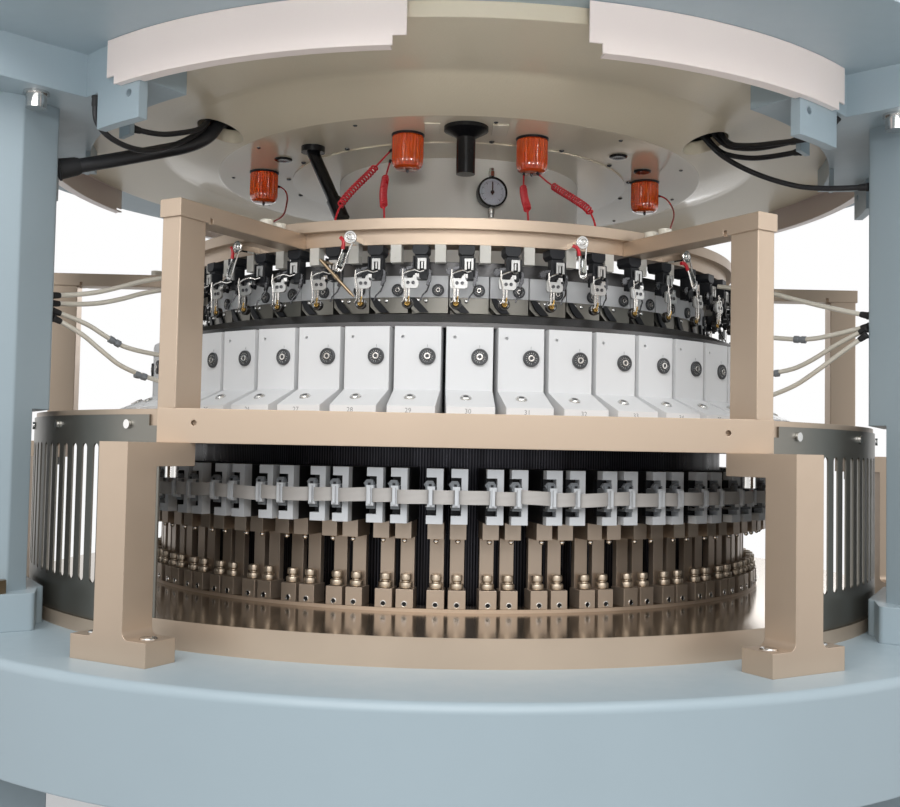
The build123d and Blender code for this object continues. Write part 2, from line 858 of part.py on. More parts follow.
def crown_cover():
    top = crown_top + cover_height

    def shell(inset, low, high):
        shape = disc(cover_outer_r - inset, low, high)
        return shape + disc(cover_bulge_r - inset, low, high, 0, shaft_centre_r)

    return shell(0, crown_top, top) - shell(cover_wall, crown_top, top - cover_wall)


def crown_dish():
    inner = dish_bore_r
    wall = dish_thickness
    body = lathe([
        (inner, dish_floor),
        (dish_floor_r, dish_floor),
        (dish_shoulder_r, dish_bottom),
        (dish_r, dish_bottom),
        (dish_r, crown_bottom),
        (dish_shoulder_r - wall / 4, crown_bottom),
        (dish_floor_r - wall / 4, dish_floor + wall),
        (inner, dish_floor + wall),
    ])
    rims = [e for e in body.edges().filter_by(GeomType.CIRCLE)
            if abs(e.radius - dish_shoulder_r) < 0.1 and e.center().Z < dish_bottom + 0.1]
    body = round_edges(body, rims, 40.0)
    for side in (-1, 1):
        x, y = place(cable_hole_centre_r, side * cable_hole_azimuth)
        body -= disc(cable_hole_r, dish_floor, crown_bottom + 1, x, y)
    return body


def dial_housing():
    body = ring(housing_r - housing_wall, housing_r, dial_ring_top, dish_floor)
    return body + ring(dial_shaft_r + housing_shaft_gap, housing_flange_r, dial_ring_top, dial_ring_top + housing_flange)


def sign_panel(middle, span):
    high = crown_bottom - touch_gap
    low = high - sign_height
    inner = sign_r - sign_sheet
    sheet = sector(inner, sign_r, low, high, middle, span)
    corner = math.degrees(sign_notch / sign_r)
    for side in (-1, 1):
        edge = middle + side * (span / 2 - corner / 2 + 0.5)
        sheet -= sector(inner - 1, sign_r + 1, low - 1, low + sign_notch * 0.7, edge, corner + 1)
    lip_span = span - 2.4 * corner
    sheet += sector(inner - sign_lip, inner + 0.1, low, low + sign_sheet, middle, lip_span)
    seat = dish_r + touch_gap
    sheet += sector(seat, inner + 0.1, dish_bottom + 6, dish_bottom + 6 + sign_sheet, middle, lip_span)
    for a in column_azimuths.values():
        sheet -= sector(wing_inner_r, wing_r + touch_gap, low - 1, high, a, 2 * wing_half_deg + 0.2)
    return sheet


def needle_cylinder():
    return ring(carrier_bore_r, cylinder_r, rotor_top, cylinder_top)


def cylinder_gear():
    body = gear(gear_teeth, 90.0, gear_bottom, gear_top) - disc(carrier_bore_r, gear_bottom, gear_top)
    body += ring(carrier_bore_r, carrier_bore_r + rotor_tube_wall, gear_top - 1, rotor_top)
    body += ring(carrier_bore_r, rotor_flange_r, rotor_flange_bottom, rotor_top)
    pocket_in = carrier_bore_r + rotor_tube_wall + 25
    pocket_out = gear_tip_r - 40
    for a in range(0, 360, 30):
        middle_r = (pocket_in + pocket_out) / 2
        x, y = place(middle_r, a)
        body -= disc((pocket_out - pocket_in) / 2.4, gear_bottom, gear_top, x, y)
    return body


def dial_gear():
    low = dial_gear_bottom
    body = gear(gear_teeth, 90.0, low, low + gear_width)
    web_r = gear_tip_r - 40
    body -= ring(dial_hub_r, web_r, low + dial_gear_web, low + gear_width)
    body -= disc(dial_shaft_top_r + touch_gap, low, low + gear_width)
    hole_r = (web_r - dial_hub_r) / 5
    for hole in around(disc(hole_r, low, low + gear_width, 0, -(web_r + dial_hub_r) / 2), 6, 0):
        body -= hole
    return body


def drive_shaft():
    centre = Pos(0, shaft_centre_r, 0)
    first = -90.0 + 180.0 / pinion_teeth
    low = shelf_top - shaft_low_tail
    upper_low = dial_gear_bottom - pinion_extra / 2
    collar_low = shelf_top + thrust_gap
    pulley_low = collar_low + collar_height
    body = disc(shaft_r, low, upper_low + gear_width + 2 * pinion_extra)
    body += gear(pinion_teeth, first, gear_bottom - pinion_extra, gear_top + pinion_extra, 4)
    body += gear(pinion_teeth, first, upper_low, upper_low + gear_width + pinion_extra, 4)
    body += disc(collar_r, collar_low, pulley_low + 1)
    body += disc(pulley_r, pulley_low, pulley_low + pulley_height)
    return centre * body


def belt_outline(r_one, r_two, distance):
    lean = math.asin((r_one - r_two) / distance)
    along = math.sin(lean)
    across = math.cos(lean)
    sides = Polyline(
        (r_one * across, r_one * -along),
        (r_two * across, -distance - r_two * along),
        (-r_two * across, -distance - r_two * along),
        (-r_one * across, r_one * -along),
        close=True,
    )
    return make_face(sides) + Circle(r_one) + Pos(0, -distance) * Circle(r_two)


def drive_belt():
    low = shelf_top + thrust_gap + collar_height + 1
    distance = shaft_centre_r - motor_centre_r
    inside = extrude(belt_outline(pulley_r + pulley_gap, motor_pulley_r + pulley_gap, distance), pulley_height - 2)
    grow = pulley_gap + belt_thick
    outside = extrude(belt_outline(pulley_r + grow, motor_pulley_r + grow, distance), pulley_height - 2)
    return Pos(0, shaft_centre_r, low) * (outside - inside)


def main_motor():
    top = shelf_top - shelf_thick
    low = top - motor_height
    y = motor_centre_r
    body = disc(motor_r - motor_fin, low, top, 0, y)
    body += disc(motor_flange_r, top - motor_flange, top, 0, y)
    fins = int((motor_height - 60) / motor_fin_pitch)
    for k in range(fins):
        z = low + 20 + motor_fin_pitch * k
        body += disc(motor_r, z, z + motor_fin, 0, y)
    box_z = low + motor_height / 2
    body += Pos(motor_r, y, box_z) * Box(50, 70, 80)
    return body


def motor_pulley():
    low = shelf_top + thrust_gap + collar_height
    y = motor_centre_r
    start = shelf_top - shelf_thick + thrust_gap
    return disc(motor_shaft_r, start, low + 2, 0, y) + disc(motor_pulley_r, low, low + pulley_height, 0, y)


def dial_shaft():
    flange_top_z = dial_top - dial_thickness
    collar_low = dish_floor + dish_thickness + thrust_gap
    gear_seat = dial_gear_bottom
    body = disc(dial_shaft_flange_r, flange_top_z - dial_shaft_flange, flange_top_z)
    body += disc(dial_shaft_r, flange_top_z - 1, gear_seat)
    body += disc(dial_collar_r, collar_low, collar_low + dial_collar_height)
    body += disc(dial_shaft_top_r, gear_seat - 1, gear_seat + gear_width + free_gap)
    return body


def takedown_frame():
    high = gear_bottom
    low = high - takedown_height
    x = takedown_width / 2 + takedown_side_thick / 2
    half_depth = takedown_side_depth / 2
    pin_y = roller_r + roller_gap / 2
    pin_z = high - roller_drop
    body = Box(1, 1, 1)
    parts = []
    for side in (-1, 1):
        plate = Pos(side * x, 0, (low + high) / 2) * Box(takedown_side_thick, takedown_side_depth, high - low)
        for y in (-pin_y, pin_y):
            hole = Pos(side * x, y, pin_z) * Rot(0, 90, 0) * Cylinder(roller_pin_r + roller_pin_gap, takedown_side_thick)
            plate -= hole
        parts.append(plate)
        foot = Pos(side * (carrier_bore_r - 20), 0, high - 10) * Box(110, takedown_side_depth, 20)
        parts.append(foot)
    parts.append(Pos(0, 0, low + takedown_bar_height / 2) * Box(takedown_width + 2, half_depth, takedown_bar_height))
    body = parts[0]
    for part in parts[1:]:
        body += part
    return body


def takedown_roller(side):
    y = side * (roller_r + roller_gap / 2)
    z = gear_bottom - roller_drop
    length = takedown_width - 2 * thrust_gap
    body = Cylinder(roller_r, length)
    body += Cylinder(roller_pin_r, takedown_width + 2 * roller_pin_length)
    return Pos(0, y, z) * Rot(0, 90, 0) * body


def stop_lamp(r, azimuth):
    x, y = place(r, azimuth)
    base_low = dish_floor - lamp_base_height
    lens = disc(lamp_r, base_low - lamp_height, base_low, x, y)
    rims = [e for e in lens.edges().filter_by(GeomType.CIRCLE) if e.center().Z < base_low - lamp_height + 1]
    return round_edges(lens, rims, 8.0) + disc(lamp_base_r, base_low, dish_floor, x, y)


def suction_funnel():
    top = dish_floor
    cone_low = top - funnel_flange_height
    body = lathe([
        (0, cone_low - funnel_tube_length),
        (funnel_tube_r, cone_low - funnel_tube_length),
        (funnel_tube_r, cone_low),
        (funnel_flange_r, top - 5),
        (funnel_flange_r, top),
        (0, top),
    ])
    return Pos(0, -funnel_centre_r, 0) * body


def suction_pipe():
    x, y = pipe_top
    start = Vector(x, y, dish_floor - pipe_flange_height)
    reach = Vector(*pipe_reach)
    pipe_plane = Plane(origin=start - reach.normalized() * 2, z_dir=reach)
    pipe = extrude(pipe_plane * Circle(pipe_r), reach.length + 2)
    sleeve = extrude(Plane(origin=start + reach * 0.72, z_dir=reach) * Circle(pipe_r + 2), reach.length * 0.28)
    return disc(pipe_flange_r, dish_floor - pipe_flange_height, dish_floor, x, y) + pipe + sleeve


def gauge_height():
    return dish_floor - gauge_below_dish


def air_gauge():
    back = housing_r + gauge_stand_off
    front = back + gauge_depth
    z = gauge_height()
    body = spot(gauge_r, back, front, z)
    body -= spot(gauge_glass_r, front - gauge_glass_depth, front, z)
    body += spot(gauge_stem_r + 2, housing_r + touch_gap, back + 1, z)
    middle = -(back + gauge_depth / 2)
    body += disc(gauge_stem_r, z + gauge_r - 2, z + gauge_r + gauge_stem_length, 0, middle)
    body += disc(gauge_stem_r, z - gauge_r - gauge_stem_length, z - gauge_r + 2, 0, middle)
    return turn(body, gauge_azimuth)


def gauge_pointer():
    face = housing_r + gauge_stand_off + gauge_depth - gauge_glass_depth
    low = face + touch_gap
    z = gauge_height()
    body = spot(pointer_hub_r, low, low + pointer_thick, z)
    body += block(pointer_width, low, low + pointer_thick, z - 4, z + pointer_length)
    return turn(body, gauge_azimuth)


def detector_post(azimuth):
    low = feeder_ring_bottom
    body = block(detector_post_width, feeder_ring_r + touch_gap, detector_r, low, low + detector_post_height)
    return turn(body, azimuth)


def detector_arm(azimuth, tilt):
    z = feeder_ring_bottom + detector_post_height / 2
    front = detector_r + thrust_gap
    back = front + detector_arm_thick
    head = Cylinder(detector_head_r, detector_arm_thick)
    arm = Pos(0, -detector_arm_length / 2, 0) * Box(detector_arm_width, detector_arm_length, detector_arm_thick)
    body = head + arm
    body += Pos(0, -detector_arm_length, 0) * Cylinder(detector_body_r, detector_arm_thick)
    body -= Pos(0, -detector_arm_length * 0.5, 0) * Box(2.4, detector_arm_length * 0.5, detector_arm_thick)
    body += Pos(0, 0, detector_arm_thick / 2 + 1) * Cylinder(4.0, 2)
    stand = Pos(0, -(front + back) / 2, z) * Rot(90, 0, 0) * Rot(0, 0, tilt) * body
    return turn(stand, azimuth)


def frame_screws():
    pieces = []
    centre_r = support_leg_outer_r - support_leg_depth / 2
    foot_top = bed_top + support_foot_height
    for a in leg_azimuths:
        for side in (-1, 1):
            x = side * foot_screw_place()
            pieces.append(turn(disc(screw_head_r, foot_top - screw_head_height, foot_top, x, -centre_r), a))
        pad_top = rail_bottom - support_arm_height
        pad_r = support_arm_inner_r + 2 * arm_pad_r
        pieces.append(turn(disc(arm_pad_r, pad_top - arm_pad_height, pad_top, 0, -pad_r), a))
    for a in frame_azimuths:
        for k in (1, 2):
            cap_r = feeder_flange_r + 24 * k
            pieces.append(turn(disc(beam_cap_r, beam_top, beam_top + beam_cap_height, 0, -cap_r), a))
    head_z = rail_top - guard_screw_drop
    for middle in column_azimuths.values():
        for offset in guard_screw_offsets:
            flat = guard_outer_r + touch_gap
            screw = spot(guard_screw_r, flat, flat + guard_screw_height, head_z)
            pieces.append(turn(screw, middle + offset))
    boss_top = bed_top + boss_height
    for a in column_azimuths.values():
        for side in (-1, 1):
            x = side * (column_half + boss_half) / 2
            for r in (column_corner_r + 12, column_back_r - 20):
                pieces.append(turn(hexagon(boss_bolt_r, boss_top, boss_top + boss_bolt_height, x, -r), a))
            x = side * (column_half + 20)
            bolt = disc(bolt_r, column_top - bolt_height, column_top, x, -bolt_centre_r)
            pieces.append(turn(bolt + disc(washer_r, column_top - washer_height, column_top, x, -bolt_centre_r), a))
    return pieces


def bend_radii(points):
    radii = []
    for before, here, after in zip(points, points[1:], points[2:]):
        one = Vector(*here) - Vector(*before)
        two = Vector(*after) - Vector(*here)
        half_turn = math.radians(one.get_angle(two)) / 2
        radii.append(0.45 * min(one.length, two.length) / math.tan(half_turn))
    return radii


def tube(points, radius, radii):
    path = FilletPolyline(*points, radius=radii) if radii else Line(*points)
    return sweep(Plane(origin=path @ 0, z_dir=path % 0) * Circle(radius), path=path)


def cord(name, points, radius):
    radii = bend_radii(points)
    shape = tube(points, radius, radii)
    print(name, "radii", [round(r) for r in radii], "volume", round(shape.volume))
    return shape


def curly_cord(name, points, first, last, wire_r, coil_r):
    # The coil runs from the middle of one run to the middle of a later one.
    radii = bend_radii(points)
    start = (Vector(*points[first]) + Vector(*points[first + 1])) * 0.5
    end = (Vector(*points[last]) + Vector(*points[last + 1])) * 0.5
    lead = tube(points[:first + 1] + [start], wire_r, radii[:first])
    coil = tube([start] + points[first + 1:last + 1] + [end], coil_r, radii[first:last])
    tail = tube([end] + points[last + 1:], wire_r, radii[last:])
    print(name, "radii", [round(r) for r in radii])
    return [lead, coil, tail]


hose_r = 3.0
cable_r = 3.4
thick_cable_r = 9.0
lead_r = 1.2
coil_r = 5.0

hose_routes = {
    "left_a": [(-499, -354.5, 1349.4), (-470, -323, 1355), (-436, -292, 1370), (-405, -266, 1386), (-350, -229, 1400)],
    "left_b": [(-499.9, -352.8, 1340.2), (-472, -318, 1343), (-440, -286, 1354), (-405, -257, 1372), (-346, -214, 1388)],
    "left_c": [(-496.4, -358.8, 1330.3), (-468, -331, 1322), (-444, -309, 1304), (-420, -290, 1290), (-378, -258, 1286)],
    "left_d": [(-493.4, -363.5, 1321.2), (-470, -341, 1309), (-448, -322, 1287), (-420, -300, 1262), (-376, -264, 1250)],
    "right_a": [(495.5, -361.4, 1345.4), (462, -333, 1357), (428, -300, 1372), (400, -272, 1386), (345, -231, 1398)],
    "right_b": [(499.6, -354.5, 1333.9), (470, -334, 1326), (441, -308, 1320), (412, -283, 1324), (374, -257, 1330)],
    "right_c": [(491.7, -366.5, 1329), (466, -343, 1314), (440, -318, 1292), (415, -296, 1279), (375, -262, 1276)],
    "right_d": [(488.5, -371.6, 1321), (465, -349, 1300), (442, -330, 1278), (415, -306, 1255), (375, -270, 1240)],
}
cable_routes = {
    "left_near": [(-431, -425, 1571.1), (-433, -427, 1551), (-427, -419, 1534), (-412, -396, 1525), (-394, -358, 1527),
                  (-376, -318, 1543), (-358, -280, 1566), (-342, -251, 1590), (-337, -243, 1612)],
    "left_far": [(-408, -359.6, 1555), (-385, -340, 1553), (-361, -306, 1566), (-340, -262, 1586), (-333, -252, 1612)],
    "right_one": [(341, -243, 1612), (346, -250, 1586), (368, -296, 1571), (386, -350, 1560), (407, -393, 1552),
                  (423, -410, 1554), (431, -425, 1569.3)],
    "right_two": [(336, -228, 1612), (346, -238, 1588), (365, -274, 1573), (386, -315, 1564), (407.2, -360, 1561)],
    "right_three": [(327, -217, 1612), (341, -226, 1584), (362, -259, 1566), (386, -300, 1554), (414.9, -351, 1550)],
    "right_four": [(319, -224, 1612), (334, -234, 1584), (364, -263, 1552), (402, -294, 1526), (443, -326, 1508),
                   (493.4, -363.5, 1504)],
}
thick_route = [(-500, -345.5, 1506), (-456, -325, 1521), (-404, -294, 1542), (-352, -256, 1566), (-330, -236, 1592),
               (-320.5, -228, 1625)]
lead_routes = {
    "lead_one": [(-270.8, -63.4, 1560), (-262, -73, 1556), (-252, -98, 1539), (-248, -140, 1513), (-244, -195, 1487),
                 (-252, -254, 1465), (-259, -281, 1452), (-262, -290, 1444.6)],
    "lead_four": [(299.6, -62.6, 1560), (307, -74, 1556), (310, -106, 1536), (303, -157, 1511), (286, -212, 1484),
                  (272, -256, 1463), (266, -276, 1451), (264, -283, 1444.6)],
}
coiled_routes = {
    "lead_two_a": [(-95.4, -275.5, 1560), (-104, -284, 1548), (-121, -308, 1520), (-140, -340, 1491),
                   (-155, -366, 1463), (-158, -372, 1443.9)],
    "lead_two_b": [(-96.3, -279, 1545), (-100, -290, 1528), (-102, -314, 1506), (-102, -346, 1484), (-99, -379, 1463),
                   (-98, -384, 1443.9)],
    "lead_three_a": [(77, -281, 1532), (76, -290, 1519), (74, -312, 1502), (73, -345, 1482), (74, -381, 1463),
                     (74, -386, 1443.9)],
    "lead_three_b": [(94, -285, 1531.7), (103, -295, 1520), (118, -316, 1503), (136, -344, 1484), (153, -373, 1463),
                     (156, -378, 1443.9)],
}



def build():
    os.makedirs("parts", exist_ok=True)
    left, right, rear = (column_azimuths[k] for k in ("left", "right", "rear"))
    save("bed_casting", [bed_casting()])
    save("base_legs", [turn(base_leg(), left), turn(base_leg(), right), turn(rear_leg(), rear)])
    save("levelling_feet", [turn(levelling_foot(), a) for a in column_azimuths.values()])
    save("column_left", [turn(column(), left)])
    save("column_right", [turn(column(), right)])
    bore = disc(shaft_bore_r, bed_top, column_top, 0, -shaft_centre_r)
    save("column_rear", [turn(column() - bore, rear)])
    save("crown_casting", [crown_casting()])
    save("crown_cover", [crown_cover()])
    save("crown_dish", [crown_dish()])
    save("dial_housing", [dial_housing()])
    save("dish_cover", [ring(housing_r + touch_gap, dish_cover_r, dish_floor - dish_cover_thick, dish_floor)])
    signs = []
    for a in window_azimuths:
        for middle, span in (sign_front_left, sign_front_right):
            signs.append(sign_panel(a + middle, span))
    save("sign_panels", signs)

    save("lower_ring_plate", [lower_ring_plate()])
    save("support_legs", [turn(support_leg(), a) for a in leg_azimuths])
    save("side_guards", [side_guard(a) for a in column_azimuths.values()])
    save("frame_screws", frame_screws())
    save("cam_ring_plate", [cam_ring_plate()])
    save("frame_posts", [turn(frame_post(), a) for a in frame_azimuths])
    save("frame_beams", [turn(frame_beam(), a) for a in frame_azimuths])
    save("feeder_ring", [feeder_ring()])

    save("cylinder_cam_boxes", around(cam_box(), feeder_count, cam_box_azimuth))
    knobs = around(stitch_dial(), feeder_count, cam_box_azimuth)
    knobs += around(dial_cam_knob(), feeder_count, dial_cam_azimuth)
    save("stitch_dials", knobs)
    save("cam_box_screws", around(foot_screw(), feeder_count, cam_box_azimuth))
    save("sinker_cap_ring", [sinker_cap_ring()])
    save("dial_cam_plates", around(dial_cam_plate(), feeder_count, dial_cam_azimuth))
    save("dial_cam_shoes", around(dial_cam_shoe(), feeder_count, dial_cam_azimuth))
    save("dial_cam_ring", [ring(dial_cam_ring_bore_r, dial_cam_r - 2, dial_cam_top, dial_ring_top)])
    save("feeder_holders", around(feeder_holder(), feeder_count, feeder_azimuth))
    save("feeder_blocks", around(feeder_block(), feeder_count, feeder_azimuth + feeder_block_offset_deg))
    save("yarn_feeders", around(yarn_feeder(), feeder_count, feeder_azimuth))

    feet = actuator_foot()
    save("actuator_feet", [turn(piece, a) for a in actuator_azimuths() for piece in feet])
    post = actuator_post()
    save("actuator_posts", [turn(post, a) for a in actuator_azimuths()])
    frame = selector_frame()
    save("selector_frames", [turn(frame, a) for a in actuator_azimuths()])
    save("ribbon_cable", [ribbon_cable()])
    save("bearing_ring", [ring(bearing_inner_r, bed_bore_r - touch_gap, bearing_seat, bearing_top)])

    save("stop_lamps", [stop_lamp(r, a) for r, a in lamp_places])
    save("air_gauge", [air_gauge()])
    save("gauge_pointer", [gauge_pointer()])
    save("suction_funnel", [suction_funnel()])
    save("suction_pipe", [suction_pipe()])
    save("detector_posts", [detector_post(a) for a in detector_azimuths])
    for k, (a, tilt) in enumerate(zip(detector_azimuths, detector_tilts)):
        save(f"detector_arm_{k + 1}", [detector_arm(a, tilt)])

    save("main_motor", [main_motor()])
    save("motor_pulley", [motor_pulley()])
    save("drive_belt", [drive_belt()])
    save("drive_shaft", [drive_shaft()])
    save("needle_cylinder", [needle_cylinder()])
    save("cylinder_gear", [cylinder_gear()])
    save("takedown_frame", [takedown_frame()])
    save("takedown_roller_front", [takedown_roller(-1)])
    save("takedown_roller_rear", [takedown_roller(1)])
    dial = ring(dial_bore_r, dial_r, dial_top - dial_thickness, dial_top)
    save("dial_plate", [dial])
    save("dial_shaft", [dial_shaft()])
    save("dial_gear", [dial_gear()])

    save("cream_hoses", [cord(name, route, hose_r) for name, route in hose_routes.items()])
    cables = [cord(name, route, cable_r) for name, route in cable_routes.items()]
    cables.append(cord("thick_cable", thick_route, thick_cable_r))
    save("black_cables", cables)
    leads = [cord(name, route, lead_r) for name, route in lead_routes.items()]
    for name, route in coiled_routes.items():
        leads += curly_cord(name, route, 1, 3, lead_r, coil_r)
    save("stop_leads", leads)


build()
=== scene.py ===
import json
import math
import random
from functools import partial

import bmesh
import bpy
import numpy as np
from mathutils import Matrix, Vector


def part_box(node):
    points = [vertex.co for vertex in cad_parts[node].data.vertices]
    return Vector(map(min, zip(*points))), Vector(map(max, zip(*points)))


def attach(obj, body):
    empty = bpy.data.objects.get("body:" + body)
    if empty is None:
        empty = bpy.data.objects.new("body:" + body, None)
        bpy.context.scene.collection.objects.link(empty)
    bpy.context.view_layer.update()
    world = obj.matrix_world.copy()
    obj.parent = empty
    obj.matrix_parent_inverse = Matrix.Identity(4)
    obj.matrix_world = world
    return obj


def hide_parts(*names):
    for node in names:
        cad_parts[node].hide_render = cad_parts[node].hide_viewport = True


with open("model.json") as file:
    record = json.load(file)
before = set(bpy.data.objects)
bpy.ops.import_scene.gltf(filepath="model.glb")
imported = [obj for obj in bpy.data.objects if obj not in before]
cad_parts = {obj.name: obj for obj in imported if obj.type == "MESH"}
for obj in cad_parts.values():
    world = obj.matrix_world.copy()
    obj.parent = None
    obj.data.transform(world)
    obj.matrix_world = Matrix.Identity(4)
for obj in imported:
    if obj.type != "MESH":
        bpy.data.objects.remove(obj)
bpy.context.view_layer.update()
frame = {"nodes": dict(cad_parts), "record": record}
ROOT = "machine_frame"
MM = 0.001
random.seed(11)

# The photographer's place, from the machine axis and the floor, in metres and radians.
CAMERA_AZIMUTH = math.radians(-1.48)
CAMERA_DISTANCE = 1.6527
EYE_HEIGHT = 1.172
CAMERA_YAW = math.radians(-0.245)
CAMERA_PITCH = math.radians(2.48)
CAMERA_ROLL = math.radians(-1.09)
FOCAL_PIXELS = 1069.6
IMAGE_WIDTH = 900
SENSOR_WIDTH = 36.0


def low_z(node):
    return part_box(node)[0].z / MM


def high_z(node):
    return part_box(node)[1].z / MM


# Sizes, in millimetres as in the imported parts.
STATIONS = 48
PITCH = math.tau / STATIONS
RAIL_TOP = high_z("cam_ring_plate")
FOOT_LOW = high_z("lower_ring_plate")
FOOT_TOP = FOOT_LOW + 21
FOOT_FRONT_R = 450
BED_TOP = high_z("bed_casting")
BOX_TOP = high_z("cylinder_cam_boxes")
DISH_FLOOR = high_z("dish_cover")
RING_BOTTOM = low_z("feeder_ring")
SHOE_BOTTOM = low_z("dial_cam_shoes")
CAM_BOTTOM = low_z("dial_cam_plates")
CAM_TOP = high_z("dial_cam_plates")
DIAL_CAM_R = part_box("dial_cam_plates")[1].x / MM
HOLDER_FRONT_R = 416
BOX_FACE_R = 450
BOX_FOOT_R = 497
FEEDER_FRONT_R = 432
STATION_TURN = math.radians(0.2)
BOX_TURN = math.radians(0.55)
DIAL_CAM_TURN = math.radians(0.85)
ACTUATOR_MIDDLE = math.radians(-2.19)
ACTUATOR_SPREAD = math.radians(3.06)
LEG_AZIMUTHS = [math.radians(a + s) for a in (0, 120, 240) for s in (-29.9, 28.7)]
LAMPS = [(300, -76.2), (290, -14.8), (290, 17.6), (286, 76.5)]
GAUGE_TURN = math.radians(11.6)
GAUGE_Z = DISH_FLOOR - 53
GAUGE_BACK, GAUGE_FRONT = 192, 208
DETECTORS = [(-39.7, -22.0), (-18.0, -20.0), (17.9, 2.0), (38.9, 26.0)]
DETECTOR_R = 436.3
EYELET = (-13.3, FEEDER_FRONT_R - 4, 1340.2)
THUMB_SCREW_R = 441
BALL_SCREW_R = 455.5
RIBBON_R = 502.5
RIBBON_INSET = 1.6
LENS_R = 20.5
LEG_SCREW_R, LEG_SCREW_SIDE = 676, 34.5
RAIL_SCREW_R = 518.5
RAIL_SCREW_SIDES = (-270, -90, 90, 270)

# Free cords. Each kind has its radius, material slot, CAD node and stiffness, and says whether both ends show.
# Each cord has its length and its route. A coiled lead has no length here: it is measured along the wound wire.
CORD_KINDS = {
    "hose": (3, "cream_plastic", "cream_hoses", "medium", False),
    "cable": (3.4, "black_plastic", "black_cables", "limp", True),
    "thick": (9, "black_plastic", "black_cables", "medium", True),
    "lead": (1.2, "red_plastic", "stop_leads", "limp", False),
}
COIL_R = 3.8
COIL_PITCHES = {"a": 6, "b": 5}
COIL_STEPS = 14
COIL_SHARE = (0.24, 0.86)
CORDS = {
    "hose_left_a": (203, [(-499, -354.5, 1349.4), (-470, -323, 1355), (-436, -292, 1370), (-405, -266, 1386),
        (-350, -229, 1400)]),
    "hose_left_b": (215, [(-499.9, -352.8, 1340.2), (-472, -318, 1343), (-440, -286, 1354), (-405, -257, 1372),
        (-346, -214, 1388)]),
    "hose_left_c": (164, [(-496.4, -358.8, 1330.3), (-468, -331, 1322), (-444, -309, 1304), (-420, -290, 1290),
        (-378, -258, 1286)]),
    "hose_left_d": (172, [(-493.4, -363.5, 1321.2), (-470, -341, 1309), (-448, -322, 1287), (-420, -300, 1262),
        (-376, -264, 1250)]),
    "hose_right_a": (207, [(495.5, -361.4, 1345.4), (462, -333, 1357), (428, -300, 1372), (400, -272, 1386),
        (345, -231, 1398)]),
    "hose_right_b": (161, [(499.6, -354.5, 1333.9), (470, -334, 1326), (441, -308, 1320), (412, -283, 1324),
        (374, -257, 1330)]),
    "hose_right_c": (168, [(491.7, -366.5, 1329), (466, -343, 1314), (440, -318, 1292), (415, -296, 1279),
        (375, -262, 1276)]),
    "hose_right_d": (174, [(488.5, -371.6, 1321), (465, -349, 1300), (442, -330, 1278), (415, -306, 1255),
        (375, -270, 1240)]),
    "cable_left_near": (268, [(-431, -425, 1571.1), (-433, -427, 1551), (-427, -419, 1534), (-412, -396, 1525),
        (-394, -358, 1527), (-376, -318, 1543), (-358, -280, 1566), (-342, -251, 1590), (-337, -243, 1612)]),
    "cable_left_far": (154, [(-408, -359.6, 1555), (-385, -340, 1553), (-361, -306, 1566), (-340, -262, 1586),
        (-333, -252, 1612)]),
    "cable_right_one": (230, [(341, -243, 1612), (346, -250, 1586), (368, -296, 1571), (386, -350, 1560),
        (407, -393, 1552), (423, -410, 1554), (431, -425, 1569.3)]),
    "cable_right_two": (167, [(336, -228, 1612), (346, -238, 1588), (365, -274, 1573), (386, -315, 1564),
        (407.2, -360, 1561)]),
    "cable_right_three": (182, [(327, -217, 1612), (341, -226, 1584), (362, -259, 1566), (386, -300, 1554),
        (414.9, -351, 1550)]),
    "cable_right_four": (258, [(319, -224, 1612), (334, -234, 1584), (364, -263, 1552), (402, -294, 1526),
        (443, -326, 1508), (493.4, -363.5, 1504)]),
    "thick_cable": (257, [(-500, -345.5, 1506), (-456, -325, 1521), (-404, -294, 1542), (-352, -256, 1566),
        (-330, -236, 1592), (-320.5, -228, 1625)]),
    "lead_one": (261, [(-270.8, -63.4, 1560), (-262, -73, 1556), (-252, -98, 1539), (-248, -140, 1513),
        (-244, -195, 1487), (-252, -254, 1465), (-259, -281, 1452), (-262, -290, 1444.6)]),
    "lead_four": (257, [(299.6, -62.6, 1560), (307, -74, 1556), (310, -106, 1536), (303, -157, 1511),
        (286, -212, 1484), (272, -256, 1463), (266, -276, 1451), (264, -283, 1444.6)]),
    "lead_two_a": (None, [(-95.4, -275.5, 1560), (-104, -284, 1548), (-121, -308, 1520), (-140, -340, 1491),
        (-155, -366, 1463), (-158, -372, 1443.9)]),
    "lead_two_b": (None, [(-96.3, -279, 1545), (-100, -290, 1528), (-102, -314, 1506), (-102, -346, 1484),
        (-99, -379, 1463), (-98, -384, 1443.9)]),
    "lead_three_a": (None, [(77, -281, 1532), (76, -290, 1519), (74, -312, 1502), (73, -345, 1482), (74, -381, 1463),
        (74, -386, 1443.9)]),
    "lead_three_b": (None, [(94, -285, 1531.7), (103, -295, 1520), (118, -316, 1503), (136, -344, 1484),
        (153, -373, 1463), (156, -378, 1443.9)]),
}

# Materials. Their lengths are in metres.
BED_BOLT_HEIGHTS = (0.9995, 1.030)
BEAM_CAP_HEIGHTS = (1.425, 1.460)
SELECTOR_FACE_R = (0.4872, 0.4880)
DISH_BAND_R = (0.362, 0.368)
# The ribbon's painted shade fades out between these radii.
RIBBON_SHADE_R = (0.5025, 0.5105)
RIBBON_WIRE_PITCH = 0.00127
GROOVES = 720.0


def shade(color, factor):
    return tuple(min(1.0, c * factor) for c in color)


def feed(tree, sockets, values):
    """Gives each socket what is named for it: a link from another node, a colour or a number."""
    for key, value in values.items():
        socket = sockets[key]
        if isinstance(value, bpy.types.NodeSocket):
            tree.links.new(value, socket)
        elif isinstance(value, tuple) and len(value) < len(socket.default_value):
            socket.default_value = (*value, 1.0)
        elif value is not None:
            socket.default_value = value


